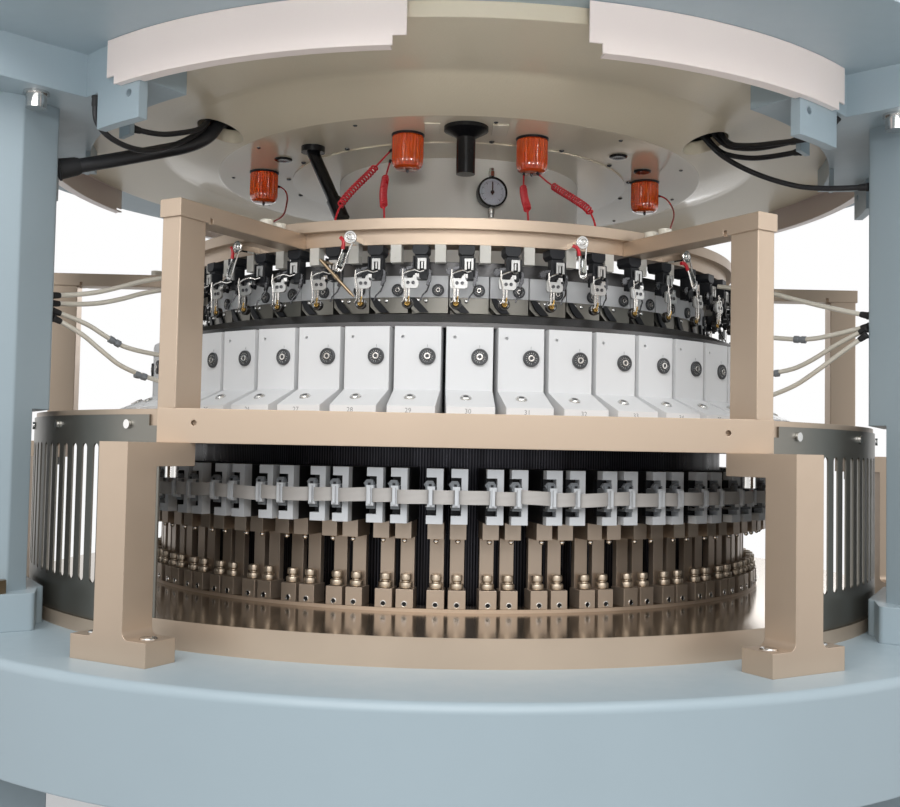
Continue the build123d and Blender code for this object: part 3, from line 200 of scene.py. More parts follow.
def new_node(tree, kind, inputs=None, **settings):
    made = tree.nodes.new("ShaderNode" + kind)
    for key, value in settings.items():
        setattr(made, key, value)
    feed(tree, made.inputs, inputs or {})
    return made


class Paint:
    """A node material with short helpers for the nodes it is made from."""

    def __init__(self, name):
        self.material = bpy.data.materials.new(name)
        self.material.use_nodes = True
        self.tree = self.material.node_tree
        self.node = partial(new_node, self.tree)
        self.place = self.node("TexCoord").outputs["Object"]
        self.x, self.y, self.z = self.node("SeparateXYZ", {0: self.place}).outputs

    def math(self, operation, *values):
        return self.node("Math", dict(enumerate(values)), operation=operation).outputs[0]

    def times(self, first, second):
        return self.math("MULTIPLY", first, second)

    def radius(self):
        return self.math("SQRT", self.math("ADD", self.times(self.x, self.x), self.times(self.y, self.y)))

    def turned(self, radial, upward, around):
        """Coordinates on a turned surface: radius, angle and height, each with its own scale."""
        angle = self.math("ARCTAN2", self.x, self.y)
        return self.node("CombineXYZ", {0: self.times(self.radius(), radial), 1: self.times(angle, around),
                                        2: self.times(self.z, upward)}).outputs[0]

    def noise(self, scale, detail=3.0, roughness=0.55, vector=None):
        return self.node("TexNoise", {"Vector": vector or self.place, "Scale": scale, "Detail": detail,
                                      "Roughness": roughness}).outputs["Fac"]

    def ramp(self, value, low, high, start=0.0, end=1.0):
        return self.node("MapRange", {0: value, 1: start, 2: end, 3: low, 4: high}).outputs[0]

    def mask(self, value, start, end):
        return self.ramp(value, 0.0, 1.0, start, end)

    def band(self, low, high, soft=0.001):
        """1 between two heights, 0 elsewhere."""
        return self.times(self.mask(self.z, low, low + soft), self.ramp(self.z, 1.0, 0.0, high, high + soft))

    def varied(self, value, number, lowest, highest):
        """A number that wanders with a noise value between two shares of itself."""
        return self.ramp(value, number * lowest, number * highest, 0.3, 0.7)

    def mixed(self, factor, first, second):
        return self.node("Mix", {0: factor, 6: first, 7: second}, data_type="RGBA").outputs[2]

    def shaded(self, factor, color, first, second):
        return self.mixed(factor, shade(color, first), shade(color, second))

    def edges(self, width):
        """A rounded edge's normal, and how near the surface is to that edge, from 0 on the flat to 1."""
        rounded = self.node("Bevel", {"Radius": width}, samples=4).outputs[0]
        plain = self.node("NewGeometry").outputs["Normal"]
        dot = self.node("VectorMath", {0: rounded, 1: plain}, operation="DOT_PRODUCT").outputs["Value"]
        return rounded, self.ramp(dot, 1.0, 0.0, 0.80, 0.995)

    def finish(self, color, bump=None, normal=None, **values):
        """Feeds the shader, also with a bump made of a height, a strength and a distance."""
        if bump:
            height, strength, distance = bump
            normal = self.node("Bump", {"Height": height, "Strength": strength, "Distance": distance,
                                        "Normal": normal}).outputs[0]
        values = {key.replace("_", " "): value for key, value in values.items()}
        feed(self.tree, self.tree.nodes["Principled BSDF"].inputs, {"Base Color": color, "Normal": normal, **values})
        return self.material


def painted(name, color, rough=0.35, grain=220.0, depth=0.00003, wear=0.0, coat=0.0, edge=0.0012):
    p = Paint(name)
    fine = p.noise(45.0, 2.0)
    base = p.shaded(p.mask(p.noise(2.2), 0.35, 0.65), color, 0.965, 1.03)
    normal, edge_wear_and_highlight = p.edges(edge)
    if wear:
        base = p.mixed(p.times(edge_wear_and_highlight, p.ramp(fine, 0.0, wear, 0.5, 0.75)), base, shade(color, 1.35))
    return p.finish(base, (p.noise(grain, 2.0), 0.25, depth), normal, Roughness=p.varied(fine, rough, 0.92, 1.08),
                    Coat_Weight=coat, Coat_Roughness=0.2)


def satin(name, color, rough=0.4, metal=0.5, edge=0.001):
    """Smooth anodised plate: a soft metal sheen with hardly any grain, and its edges painted lighter as a painted
    highlight.
    """
    p = Paint(name)
    fine = p.noise(70.0, 2.0)
    base = p.shaded(p.mask(p.noise(3.0), 0.35, 0.65), color, 0.95, 1.04)
    normal, edge_wear_and_highlight = p.edges(edge)
    # Painted highlight: the edges are lightened towards 1.35 times the colour.
    return p.finish(p.mixed(p.times(edge_wear_and_highlight, 0.45), base, shade(color, 1.35)), (fine, 0.12, 0.00003), normal,
                    Roughness=p.varied(fine, rough, 0.93, 1.07), Metallic=metal)


def lined(p, lines, cloud, color, rough, metal, spread, depth, edge, soil, bright, strength):
    """Metal with fine tool marks, soiled in patches, and painted lighter on its edges as a painted highlight."""
    normal, edge_wear_and_highlight = p.edges(edge)
    base = p.mixed(cloud, p.shaded(lines, color, 1 - spread, 1 + spread), shade(color, soil))
    # Painted highlight: the edges are lightened by the shares in bright.
    return p.finish(p.mixed(p.times(edge_wear_and_highlight, bright[0]), base, shade(color, bright[1])), (lines, strength, depth),
                    normal, Roughness=p.varied(lines, rough, 0.75, 1.3), Metallic=metal)


def brushed(name, color, rough=0.3, grain=400.0, metal=1.0, depth=0.00002, edge=0.001, spread=0.12):
    p = Paint(name)
    place = p.node("Mapping", {"Vector": p.place, "Scale": (grain,) * 3}).outputs["Vector"]
    return lined(p, p.noise(1.0, 4.0, 0.7, place), p.ramp(p.noise(7.0, 4.0), 0.0, 0.45, 0.5, 0.8), color, rough,
                 metal, spread, depth, edge, 0.82, (0.5, 1.35), 0.25)


def turned_metal(name, color, rough=0.3, lines_per_metre=2500.0, metal=1.0):
    p = Paint(name)
    lines = p.noise(1.0, 3.0, 0.7, p.turned(lines_per_metre, lines_per_metre, 1.5))
    return lined(p, lines, p.ramp(p.noise(9.0, 4.0), 0.0, 0.5, 0.5, 0.8), color, rough, metal, 0.12, 0.00002,
                 0.0008, 0.8, (0.6, 1.4), 0.2)


def moulded(name, color, rough=0.4, depth=0.00003, grain=1500.0, coat=0.0, shine=0.5):
    p = Paint(name)
    cloud = p.noise(25.0)
    return p.finish(p.shaded(cloud, color, 0.9, 1.08), (p.noise(grain, 2.0), 0.3, depth),
                    Roughness=p.varied(cloud, rough, 0.85, 1.2), Coat_Weight=coat, Coat_Roughness=0.08,
                    Specular_IOR_Level=shine)


def smooth_metal(name, color, rough, metal):
    """Rolled sheet metal with neither bump nor lightened edges, for thin curved plates."""
    p = Paint(name)
    cloud = p.noise(6.0)
    return p.finish(p.shaded(p.mask(cloud, 0.3, 0.7), color, 0.93, 1.06),
                    Roughness=p.varied(cloud, rough, 0.95, 1.05), Metallic=metal)


def polished_plate():
    """Ring plate, polished on its top face and satin around its rim; the rim is also painted lighter than the top as
    painted light.
    """
    p = Paint("polished_champagne_plate")
    top = p.mask(p.node("SeparateXYZ", {0: p.node("NewGeometry").outputs["Normal"]}).outputs[2], 0.4, 0.6)
    # Painted light: the rim's colour is lighter than the top's.
    base = p.mixed(top, shade(CHAMPAGNE, 1.08), (0.40, 0.315, 0.225))
    return p.finish(p.mixed(p.ramp(p.noise(5.0), 0.0, 0.5, 0.45, 0.8), base, shade(CHAMPAGNE, 0.72)),
                    Roughness=p.ramp(top, 0.40, 0.16), Metallic=p.ramp(top, 0.55, 0.9))


def frame_screw_metal():
    """Chrome screws, with brown plated bolts on the bed and cream caps on the beams."""
    p = Paint("frame_screw_metal")
    fine = p.noise(300.0, 2.0)
    brown, cream = p.band(*BED_BOLT_HEIGHTS), p.band(*BEAM_CAP_HEIGHTS)
    base = p.mixed(fine, (0.66, 0.645, 0.62), (0.74, 0.73, 0.71))
    rough = p.math("ADD", p.ramp(fine, 0.16, 0.22), p.times(p.math("ADD", brown, cream), 0.16))
    return p.finish(p.mixed(cream, p.mixed(brown, base, (0.30, 0.225, 0.145)), (0.74, 0.70, 0.60)),
                    Roughness=rough, Metallic=p.ramp(cream, 1.0, 0.0))


def selector_enamel():
    """Silver-white front plates on the selectors; the sides behind them are painted near black as painted shade
    between the frames.
    """
    p = Paint("selector_white_enamel")
    cloud = p.noise(12.0)
    pale = p.mixed(cloud, (0.58, 0.60, 0.625), (0.66, 0.68, 0.70))
    # Painted shade: inside SELECTOR_FACE_R the colour is near black.
    return p.finish(p.mixed(p.mask(p.radius(), *SELECTOR_FACE_R), (0.020, 0.020, 0.022), pale),
                    Roughness=p.ramp(cloud, 0.36, 0.44))


def dish_paint():
    """Pebbled cream enamel on the outer band, smooth and glossy on the flat floor."""
    p = Paint("pebbled_cream_enamel")
    color = (0.68, 0.60, 0.46)
    outside = p.mask(p.radius(), *DISH_BAND_R)
    base = p.shaded(p.noise(3.5, 4.0), color, 0.92, 1.08)
    pebbles = p.times(p.noise(260.0, 2.0, 0.5), p.math("ADD", p.times(outside, 0.9), 0.1))
    return p.finish(p.mixed(outside, shade(color, 1.12), base), (pebbles, 0.5, 0.0006), p.edges(0.002)[0],
                    Roughness=p.math("ADD", p.times(outside, 0.22), 0.13), Coat_Weight=0.3, Coat_Roughness=0.1)


def needle_bed():
    """Dark cylinder wall with its upright needle grooves."""
    p = Paint("needle_bed_steel")
    groove = p.math("SINE", p.times(p.math("ARCTAN2", p.x, p.y), GROOVES))
    cloud = p.noise(1.0, 4.0, vector=p.turned(10.0, 6.0, 14.0))
    base = p.mixed(p.mask(groove, -0.6, 0.9), (0.012, 0.012, 0.016), (0.055, 0.055, 0.065))
    return p.finish(p.mixed(p.ramp(cloud, 0.0, 0.8, 0.55, 0.75), base, (0.02, 0.019, 0.02)), (groove, 0.5, 0.0002),
                    Roughness=p.ramp(cloud, 0.22, 0.42, 0.3, 0.7), Metallic=0.85)


def ribbon_plastic():
    """Grey ribbon of thin wires, with painted shade deep between the connectors and patches of a pink edge wire."""
    p = Paint("ribbon_cable_grey")
    color = (0.50, 0.475, 0.45)
    wires = p.math("SINE", p.times(p.z, math.tau / RIBBON_WIRE_PITCH))
    base = p.shaded(p.mask(wires, -1.0, 1.0), color, 0.86, 1.08)
    # Painted shade: the ribbon is darkened where it lies deep, next to the connectors.
    base = p.mixed(p.mask(p.radius(), *RIBBON_SHADE_R), shade(color, 0.30), base)
    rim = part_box("ribbon_cable")[1].z
    patch = p.ramp(p.noise(1.0, 1.0, vector=p.turned(0.0, 0.0, 9.0)), 0.0, 0.8, 0.48, 0.60)
    pink = p.times(p.mask(p.z, rim - 0.0012, rim - 0.0008), patch)
    return p.finish(p.mixed(pink, base, (0.42, 0.10, 0.11)), (wires, 0.5, 0.0003), Roughness=0.42)


def amber_plastic():
    p = Paint("amber_lens")
    return p.finish(p.mixed(p.noise(60.0, 2.0), (0.86, 0.060, 0.008), (1.0, 0.18, 0.018)),
                    (p.noise(300.0, 2.0), 0.1, 0.0001), Roughness=0.08, Transmission_Weight=0.35, IOR=1.49,
                    Coat_Weight=1.0, Coat_Roughness=0.03, Subsurface_Weight=0.15,
                    Subsurface_Radius=(0.02, 0.005, 0.001))


def clear_plastic(name, color, rough=0.05):
    p = Paint(name)
    return p.finish(p.shaded(p.noise(40.0, 2.0), color, 0.96, 1.0), Roughness=rough, Transmission_Weight=1.0,
                    IOR=1.46)


def hose_plastic():
    p = Paint("cream_tube_plastic")
    return p.finish(p.mixed(p.noise(30.0), (0.62, 0.58, 0.49), (0.74, 0.70, 0.61)),
                    (p.noise(800.0, 2.0), 0.15, 0.00003), Roughness=0.28, Transmission_Weight=0.12,
                    Coat_Weight=0.3, Coat_Roughness=0.1)


def braided(name, color):
    p = Paint(name)
    threads = p.node("TexVoronoi", {"Vector": p.place, "Scale": 900.0}).outputs["Distance"]
    return p.finish(p.shaded(threads, color, 0.6, 1.6), (threads, 0.4, 0.0002), Roughness=0.5)


BLUE_GREY = (0.330, 0.405, 0.445)
CHAMPAGNE = (0.500, 0.392, 0.298)
MATERIALS = {
    "bed_paint": painted("blue_grey_enamel", BLUE_GREY, 0.42, wear=0.3, coat=0.1, edge=0.002),
    # The legs take the bed's blue-grey darkened by 15% as painted shade.
    "leg_paint": painted("blue_grey_enamel_painted_shade", shade(BLUE_GREY, 0.85), 0.45, wear=0.3, edge=0.002),
    "champagne_plate": satin("champagne_anodised_plate", CHAMPAGNE, 0.38, 0.6),
    "cream_paint": dish_paint(),
    "sign_enamel": painted("cream_sign_enamel", (0.86, 0.755, 0.705), 0.35, coat=0.1, edge=0.0015),
    "stainless": smooth_metal("satin_stainless", (0.215, 0.205, 0.180), 0.36, 0.85),
    "chrome": brushed("bright_chrome", (0.72, 0.71, 0.69), 0.14, 300.0, 1.0, 0.00001, 0.0004, 0.04),
    "silver_box": painted("silver_grey_enamel", (0.75, 0.755, 0.76), 0.42, wear=0.2, edge=0.0007),
    "dark_steel": turned_metal("dark_turned_steel", (0.115, 0.112, 0.112), 0.34),
    "blued_steel": brushed("blued_steel", (0.030, 0.031, 0.034), 0.32, 200.0, 0.9),
    "dial_grey": turned_metal("stitch_dial_grey", (0.075, 0.077, 0.08), 0.4, 1500.0, 0.6),
    "black_plastic": moulded("black_moulded_plastic", (0.014, 0.015, 0.018), 0.42, shine=0.3),
    "gloss_black": moulded("gloss_black_plastic", (0.006, 0.006, 0.007), 0.24, 0.00001, 900.0, 0.08, 0.3),
    "cream_plastic": hose_plastic(),
    "amber": amber_plastic(),
    "red_plastic": moulded("red_lead_plastic", (0.52, 0.012, 0.022), 0.3, 0.00001, 900.0, 0.3),
    "champagne_actuator": satin("champagne_actuator_metal", (0.46, 0.375, 0.300), 0.34, 0.7, 0.0006),
    "ribbon_grey": ribbon_plastic(),
    "rubber": moulded("black_rubber", (0.014, 0.014, 0.015), 0.6, 0.0001, 700.0),
    "cast_iron": painted("machined_cast_iron", (0.10, 0.10, 0.105), 0.45, 150.0, 0.0002, 0.6, 0.0, 0.001),
    "motor_paint": painted("motor_enamel", (0.055, 0.085, 0.13), 0.38, wear=0.4, coat=0.1),
}
CHROME, RED, RUBBER = (MATERIALS[key] for key in ("chrome", "red_plastic", "rubber"))
BLACK, GLOSS_BLACK = MATERIALS["black_plastic"], MATERIALS["gloss_black"]
WHITE_SATIN = satin("pale_satin_plate", (0.50, 0.495, 0.48), 0.30, 0.7, 0.0004)
BRASS = turned_metal("eyelet_brass", (0.42, 0.27, 0.085), 0.24, 3000.0)
BRONZE = satin("bronze_rod", (0.34, 0.255, 0.165), 0.3, 0.85, 0.0004)
CERAMIC = moulded("dark_ceramic", (0.02, 0.018, 0.016), 0.14, 0.00001, 500.0, 0.5)
NICKEL = brushed("nickel_plate", (0.60, 0.575, 0.54), 0.24, 400.0, 1.0, 0.00001, 0.0004, 0.06)
GOLD_NICKEL = brushed("golden_nickel_plate", (0.50, 0.42, 0.33), 0.40, 400.0, 0.95, 0.00001, 0.0004, 0.1)
GUN_METAL = brushed("gun_metal", (0.105, 0.105, 0.11), 0.26, 400.0, 0.95, 0.00001, 0.0005, 0.15)
CONNECTOR_GREY = moulded("connector_grey_plastic", (0.19, 0.205, 0.22), 0.45)
DIAL_WHITE = moulded("gauge_face_white", (0.72, 0.74, 0.78), 0.35)
INK = moulded("printed_ink_black", (0.015, 0.015, 0.017), 0.5)
INK_GREY = moulded("engraved_number_grey", (0.25, 0.255, 0.26), 0.5)
GLASS = clear_plastic("gauge_glass", (0.97, 0.98, 1.0))
CLEAR = clear_plastic("clear_acrylic", (0.90, 0.95, 0.93), 0.12)
COVER_CREAM = painted("cream_cover_enamel", (0.74, 0.665, 0.52), 0.18, depth=0.00001, coat=0.3, edge=0.001)
SPECIAL = {
    "lower_ring_plate": polished_plate(),
    "needle_cylinder": needle_bed(),
    "dish_cover": COVER_CREAM,
    "dial_housing": painted("cream_drum_enamel", (0.70, 0.67, 0.61), 0.24, depth=0.00001, coat=0.2, edge=0.001),
    "selector_frames": selector_enamel(),
    "frame_screws": frame_screw_metal(),
    "feeder_blocks": moulded("cream_block_plastic", (0.66, 0.64, 0.585), 0.3),
}


def dress(node, material):
    mesh = frame["nodes"][node].data
    mesh.materials.clear()
    mesh.materials.append(material)


def new_object(name, data):
    made = bpy.data.objects.new(name, data)
    bpy.context.scene.collection.objects.link(made)
    return made


# Shapes, in millimetres.

class Shape:
    """Points and faces of one piece, built at the front of the machine and turned to its places."""

    def __init__(self):
        self.points = []
        self.faces = []

    def add(self, points, faces):
        base = len(self.points)
        self.points += [tuple(p) for p in points]
        self.faces += [tuple(base + i for i in f) for f in faces]
        return self

    def box(self, low, high):
        (x0, y0, z0), (x1, y1, z1) = low, high
        points = [(x, y, z) for z in (z0, z1) for y in (y0, y1) for x in (x0, x1)]
        return self.add(points, [(0, 2, 3, 1), (4, 5, 7, 6), (0, 1, 5, 4), (2, 6, 7, 3), (0, 4, 6, 2), (1, 3, 7, 5)])

    def prism(self, outline, near, far):
        """A plate with an outline of (x, z) points that faces the front, from y = -near to y = -far."""
        count = len(outline)
        points = [(x, -r, z) for r in (near, far) for x, z in outline]
        sides = [(i, (i + 1) % count, count + (i + 1) % count, count + i) for i in range(count)]
        return self.add(points, [tuple(range(count))[::-1], tuple(range(count, 2 * count))] + sides)

    def rows(self, rings):
        """Skins a row of rings, each a list of points, then caps the first and the last."""
        count, last = len(rings[0]), len(rings) - 1
        sides = [(row * count + k, row * count + (k + 1) % count, (row + 1) * count + (k + 1) % count,
                  (row + 1) * count + k) for row in range(last) for k in range(count)]
        caps = [tuple(range(count))[::-1], tuple(range(last * count, (last + 1) * count))]
        return self.add([p for ring in rings for p in ring], sides + caps)

    def lathe(self, profile, segments, at):
        """Turns (radius, height) points about the local Z axis of the matrix at."""
        turns = azimuths(0, segments)
        return self.rows([[at @ Vector((r * math.cos(a), r * math.sin(a), h)) for a in turns] for r, h in profile])

    def tube(self, path, radius, segments=8):
        path = [Vector(p) for p in path]
        rings = []
        normal = None
        for before, p, after in zip(path[:1] + path, path, path[1:] + path[-1:]):
            direction = (after - before).normalized()
            normal = normal or direction.orthogonal().normalized()
            normal = (normal - direction * normal.dot(direction)).normalized()
            side = direction.cross(normal)
            rings.append([p + (normal * math.cos(a) + side * math.sin(a)) * radius for a in azimuths(0, segments)])
        return self.rows(rings)

    def placed(self, matrix):
        return Shape().add([matrix @ Vector(p) for p in self.points], self.faces)

    def join(self, other):
        return self.add(other.points, other.faces)

    def around(self, turns):
        points = np.array(self.points, float)
        made = Shape()
        for a in turns:
            c, s = math.cos(a), math.sin(a)
            made.add((points @ np.array([[c, s, 0], [-s, c, 0], [0, 0, 1]])).tolist(), self.faces)
        return made

    def piece(self, name, material, slot, node=None, body=ROOT, bevel=0.0, smooth=35.0):
        """Makes the object, which takes the place of a CAD node where one is named."""
        mesh = bpy.data.meshes.new(name)
        mesh.from_pydata((np.array(self.points) * MM).tolist(), [], self.faces)
        work = bmesh.new()
        work.from_mesh(mesh)
        bmesh.ops.recalc_face_normals(work, faces=work.faces)
        work.to_mesh(mesh)
        work.free()
        mesh.materials.append(material)
        mesh.shade_smooth()
        mesh.set_sharp_from_angle(angle=math.radians(smooth))
        made = new_object(name, mesh)
        if bevel:
            edges = made.modifiers.new("edges", "BEVEL")
            edges.width = bevel * MM
            edges.segments = 1
            edges.limit_method = "ANGLE"
            edges.angle_limit = math.radians(32)
            edges.harden_normals = True
        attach(made, body)
        if node:
            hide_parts(node)


def upright(x, r, z):
    return Matrix.Translation((x, -r, z))


def facing(x, r, z):
    """A matrix whose Z axis points out of the machine at the front, at side x, radius r and height z."""
    return upright(x, r, z) @ Matrix.Rotation(math.radians(90), 4, "X")


def hanging(r, turn):
    """A matrix at the dish floor, at a radius and a turn around the machine."""
    return Matrix.Translation((r * math.sin(turn), -r * math.cos(turn), DISH_FLOOR))


def along(start, end):
    """A matrix at start whose Z axis points to end."""
    return Matrix.Translation(start) @ (end - start).normalized().to_track_quat("Z", "Y").to_matrix().to_4x4()


def azimuths(turn, count=STATIONS):
    """Even turns all around, from the first one on."""
    return [turn + math.tau / count * k for k in range(count)]


def round_head(at, radius, height, rows=5):
    dome = [(radius * math.cos(t), height * (0.3 + 0.7 * math.sin(t)))
            for t in (math.pi / 2 * k / rows for k in range(rows))]
    return Shape().lathe([(radius, 0)] + dome + [(radius * 0.12, height)], 14, at)


def evaluated_mesh(thing):
    bpy.context.view_layer.update()
    return bpy.data.meshes.new_from_object(thing.evaluated_get(bpy.context.evaluated_depsgraph_get()))


# Camera and cords.

def make_camera():
    cy, sy = math.cos(CAMERA_YAW), math.sin(CAMERA_YAW)
    cp, sp = math.cos(CAMERA_PITCH), math.sin(CAMERA_PITCH)
    cr, sr = math.cos(CAMERA_ROLL), math.sin(CAMERA_ROLL)
    forward = Vector((sy * cp, cy * cp, sp))
    right = Vector((cy, -sy, 0))
    down = forward.cross(right)
    right, down = cr * right + sr * down, -sr * right + cr * down
    turn = Matrix.Rotation(CAMERA_AZIMUTH, 3, "Z")
    columns = [turn @ right, turn @ -down, turn @ -forward]
    data = bpy.data.cameras.new("camera")
    data.sensor_width = SENSOR_WIDTH
    data.lens = SENSOR_WIDTH * FOCAL_PIXELS / IMAGE_WIDTH
    data.clip_start = 0.05
    camera = new_object("camera", data)
    place = turn @ Vector((0, -CAMERA_DISTANCE, EYE_HEIGHT))
    camera.matrix_world = Matrix.Translation(place) @ Matrix(columns).transposed().to_4x4()
    bpy.context.scene.camera = camera


def spline(name, points, radius, steps=8):
    curve = bpy.data.curves.new(name, "CURVE")
    curve.dimensions = "3D"
    curve.resolution_u = steps
    curve.bevel_depth = radius * MM
    curve.bevel_resolution = 4
    curve.use_fill_caps = True
    line = curve.splines.new("NURBS")
    line.points.add(len(points) - 1)
    for point, place in zip(line.points, points):
        point.co = (*(c * MM for c in place), 1.0)
    line.order_u = 3
    line.use_endpoint_u = True
    return new_object(name, curve)


def line_of(points, name):
    """Places in metres along the smooth line of a route, about a millimetre apart."""
    guide = spline(name, points, 0.0, 24)
    mesh = evaluated_mesh(guide)
    places = [v.co.copy() for v in mesh.vertices]
    bpy.data.objects.remove(guide)
    bpy.data.meshes.remove(mesh)
    return places


def curly(points, name):
    """The route's line, wound in metres into a helix between the two shares of its length."""
    places = line_of(points, name + "_guide")
    runs = [0.0]
    for a, b in zip(places, places[1:]):
        runs.append(runs[-1] + (b - a).length)
    total = runs[-1]

    def at(distance):
        k = max(1, next((i for i, d in enumerate(runs) if d >= distance), len(runs) - 1))
        share = (distance - runs[k - 1]) / max(1e-9, runs[k] - runs[k - 1])
        return places[k - 1].lerp(places[k], share), (places[k] - places[k - 1]).normalized()

    start, end = (total * share for share in COIL_SHARE)
    steps = int((end - start) / (COIL_PITCHES[name[-1]] * MM) * COIL_STEPS)
    wound = [at(start * k / 3)[0] for k in (1, 2)]
    normal = at(start)[1].orthogonal().normalized()
    for k in range(steps + 1):
        place, direction = at(start + (end - start) * k / steps)
        normal = (normal - direction * normal.dot(direction)).normalized()
        side = direction.cross(normal)
        swell = COIL_R * MM * min(1.0, 2.0 * k / COIL_STEPS, 2.0 * (steps - k) / COIL_STEPS)
        a = math.tau * k / COIL_STEPS
        wound.append(place + (normal * math.cos(a) + side * math.sin(a)) * swell)
    wound += [at(end + (total - end) * k / 3)[0] for k in (1, 2, 3)]
    return [points[0]] + [tuple(c / MM for c in place) for place in wound]


def path_length(points):
    return sum((Vector(b) - Vector(a)).length for a, b in zip(points, points[1:]))


def cords():
    """Each cord's name, kind, radius, material slot, CAD node, stiffness, whether both ends show, length and route."""
    for name, (length, points) in CORDS.items():
        kind = name.split("_")[0]
        yield (name, kind, *CORD_KINDS[kind], length, points)


def make_cords():
    materials = {"hose": MATERIALS["cream_plastic"], "lead": RED,
                 "cable": braided("black_braided_sheath", (0.016, 0.016, 0.018)),
                 "thick": moulded("black_cable_sleeve", (0.018, 0.018, 0.020), 0.38, 0.0003, 300.0)}
    for name, kind, radius, slot, node, stiffness, _, length, points in cords():
        if not length:
            points = curly(points, name)
            length = path_length(points)
        made = spline(name, points, radius)
        made.data.materials.append(materials[kind])
        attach(made, ROOT)
        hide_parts(node)


def make_reliefs():
    """Tapered sleeves where cords leave the columns, the wings and the dish."""
    joined = Shape()
    for _, _, r, _, _, _, both, _, points in cords():
        for ends in (points[:2], points[:-3:-1])[:1 + both]:
            joined.lathe([(1.55 * r, -0.5), (1.60 * r, 1.5), (1.42 * r, 2.2), (1.25 * r, 2.2 * r + 2),
                          (1.08 * r, 2.6 * r + 3)], 20, along(*(Vector(p) for p in ends)))
    joined.piece("cord_reliefs", RUBBER, "rubber")


# Light and floor.

def area_light(name, place, target, size, power, spread=180):
    """A rectangular lamp with its size and place in metres, its power in watts and its spread in degrees."""
    data = bpy.data.lights.new(name, "AREA")
    data.shape = "RECTANGLE"
    data.size, data.size_y = size
    data.energy = power
    data.spread = math.radians(spread)
    made = new_object(name, data)
    made.location = place
    made.rotation_euler = (Vector(target) - Vector(place)).to_track_quat("-Z", "Y").to_euler()


def make_light():
    area_light("front_window", (-0.3, -3.6, 3.2), (0, 0, 1.3), (4.0, 2.0), 99)
    area_light("ceiling", (0, -1.9, 3.9), (0, -0.6, 1.0), (4.2, 1.6), 58)
    area_light("right_window", (3.6, -1.6, 2.0), (0, 0, 1.25), (2.2, 2.2), 12)
    area_light("left_window", (-3.6, -1.2, 1.8), (0, 0, 1.2), (2.2, 2.2), 8)
    area_light("crown_strip", (0, -3.0, 1.35), (0, -0.7, 1.77), (2.4, 0.4), 2.2, 26)
    area_light("back_window", (1.0, 3.8, 2.6), (0, 0, 1.3), (3.0, 2.0), 44)
    world = bpy.data.worlds.new("studio")
    bpy.context.scene.world = world
    world.use_nodes = True
    tree = world.node_tree
    tree.nodes.clear()
    node = partial(new_node, tree)
    rays = node("LightPath").outputs
    seen = rays["Is Camera Ray"]
    for kind in ("Is Glossy Ray", "Is Transmission Ray"):
        seen = node("Math", {0: seen, 1: rays[kind]}, operation="MAXIMUM").outputs[0]
    soft = node("Background", {0: (0.93, 0.96, 1.0), 1: 0.38}).outputs[0]
    white = node("Background", {0: (1, 1, 1), 1: 1.0}).outputs[0]
    node("OutputWorld", {0: node("MixShader", {0: seen, 1: soft, 2: white}).outputs[0]})
    bpy.context.scene.view_settings.view_transform = "Standard"


def make_floor():
    half = 8.0
    mesh = bpy.data.meshes.new("floor")
    mesh.from_pydata([(-half, -half, 0), (half, -half, 0), (half, half, 0), (-half, half, 0)], [], [(0, 1, 2, 3)])
    p = Paint("pale_floor")
    color = p.mixed(p.noise(3.0, 4.0), (0.70, 0.70, 0.695), (0.76, 0.76, 0.755))
    mesh.materials.append(p.finish(color, Roughness=0.6))
    new_object("floor", mesh)


# The yarn feeding stations.

def holder_template():
    """Black holder block with its chamfered head, its cheeks and the body below."""
    top, front = RING_BOTTOM - 2.5, HOLDER_FRONT_R
    head = [(-10.5, top), (8.5, top), (8.5, top - 7.5), (5.5, top - 11.5), (-7.5, top - 11.5), (-10.5, top - 7.5)]
    made = Shape().prism(head, front - 24, front)
    made.box((-7.5, 2 - front, top - 40), (7.5, 14 - front, top - 11.5))
    made.box((-9.5, -2 - front, top - 30), (-7.5, 10 - front, top - 13))
    made.box((7.5, -2 - front, top - 36), (9.2, 10 - front, top - 15))
    claw = [(-15, top - 31), (-7.5, top - 26), (-4, top - 33), (-7.5, top - 45), (-10.5, top - 38),
            (-13.5, top - 43), (-16, top - 37)]
    return made.prism(claw, front - 1, front + 4)


def keyhole_plate():
    """Pale plate with an upside-down U slot."""
    top, near, far = RING_BOTTOM - 18.5, -1 - HOLDER_FRONT_R, -3.5 - HOLDER_FRONT_R
    made = Shape()
    made.box((-3.75, far, top - 13.5), (-0.95, near, top))
    made.box((3.95, far, top - 13.5), (6.75, near, top))
    made.box((-0.95, far, top - 4), (3.95, near, top))
    return made.box((0.3, -2.2 - HOLDER_FRONT_R, top - 12), (2.7, near, top - 4))


def feeder_plate():
    """Pale plate with notched ears that carries the yarn finger."""
    outline = [(-10, 5.5), (-7.5, 7.5), (-5.5, 4.5), (3, 4.5), (4.5, 8), (7.5, 8), (8, 3), (10.5, 1), (10.5, -5),
               (7.5, -7.5), (-8.5, -7.5), (-10, -5)]
    return Shape().prism([(x - 10.7, z + 1364.5) for x, z in outline], FEEDER_FRONT_R - 3, FEEDER_FRONT_R)


def feeder_holes():
    made = Shape()
    for x in (-12.5, -6.5):
        made.lathe([(2.1, 0), (2.1, 0.8), (1.4, 0.8), (1.3, 0.2)], 12, facing(x, FEEDER_FRONT_R, 1363.5))
    return made


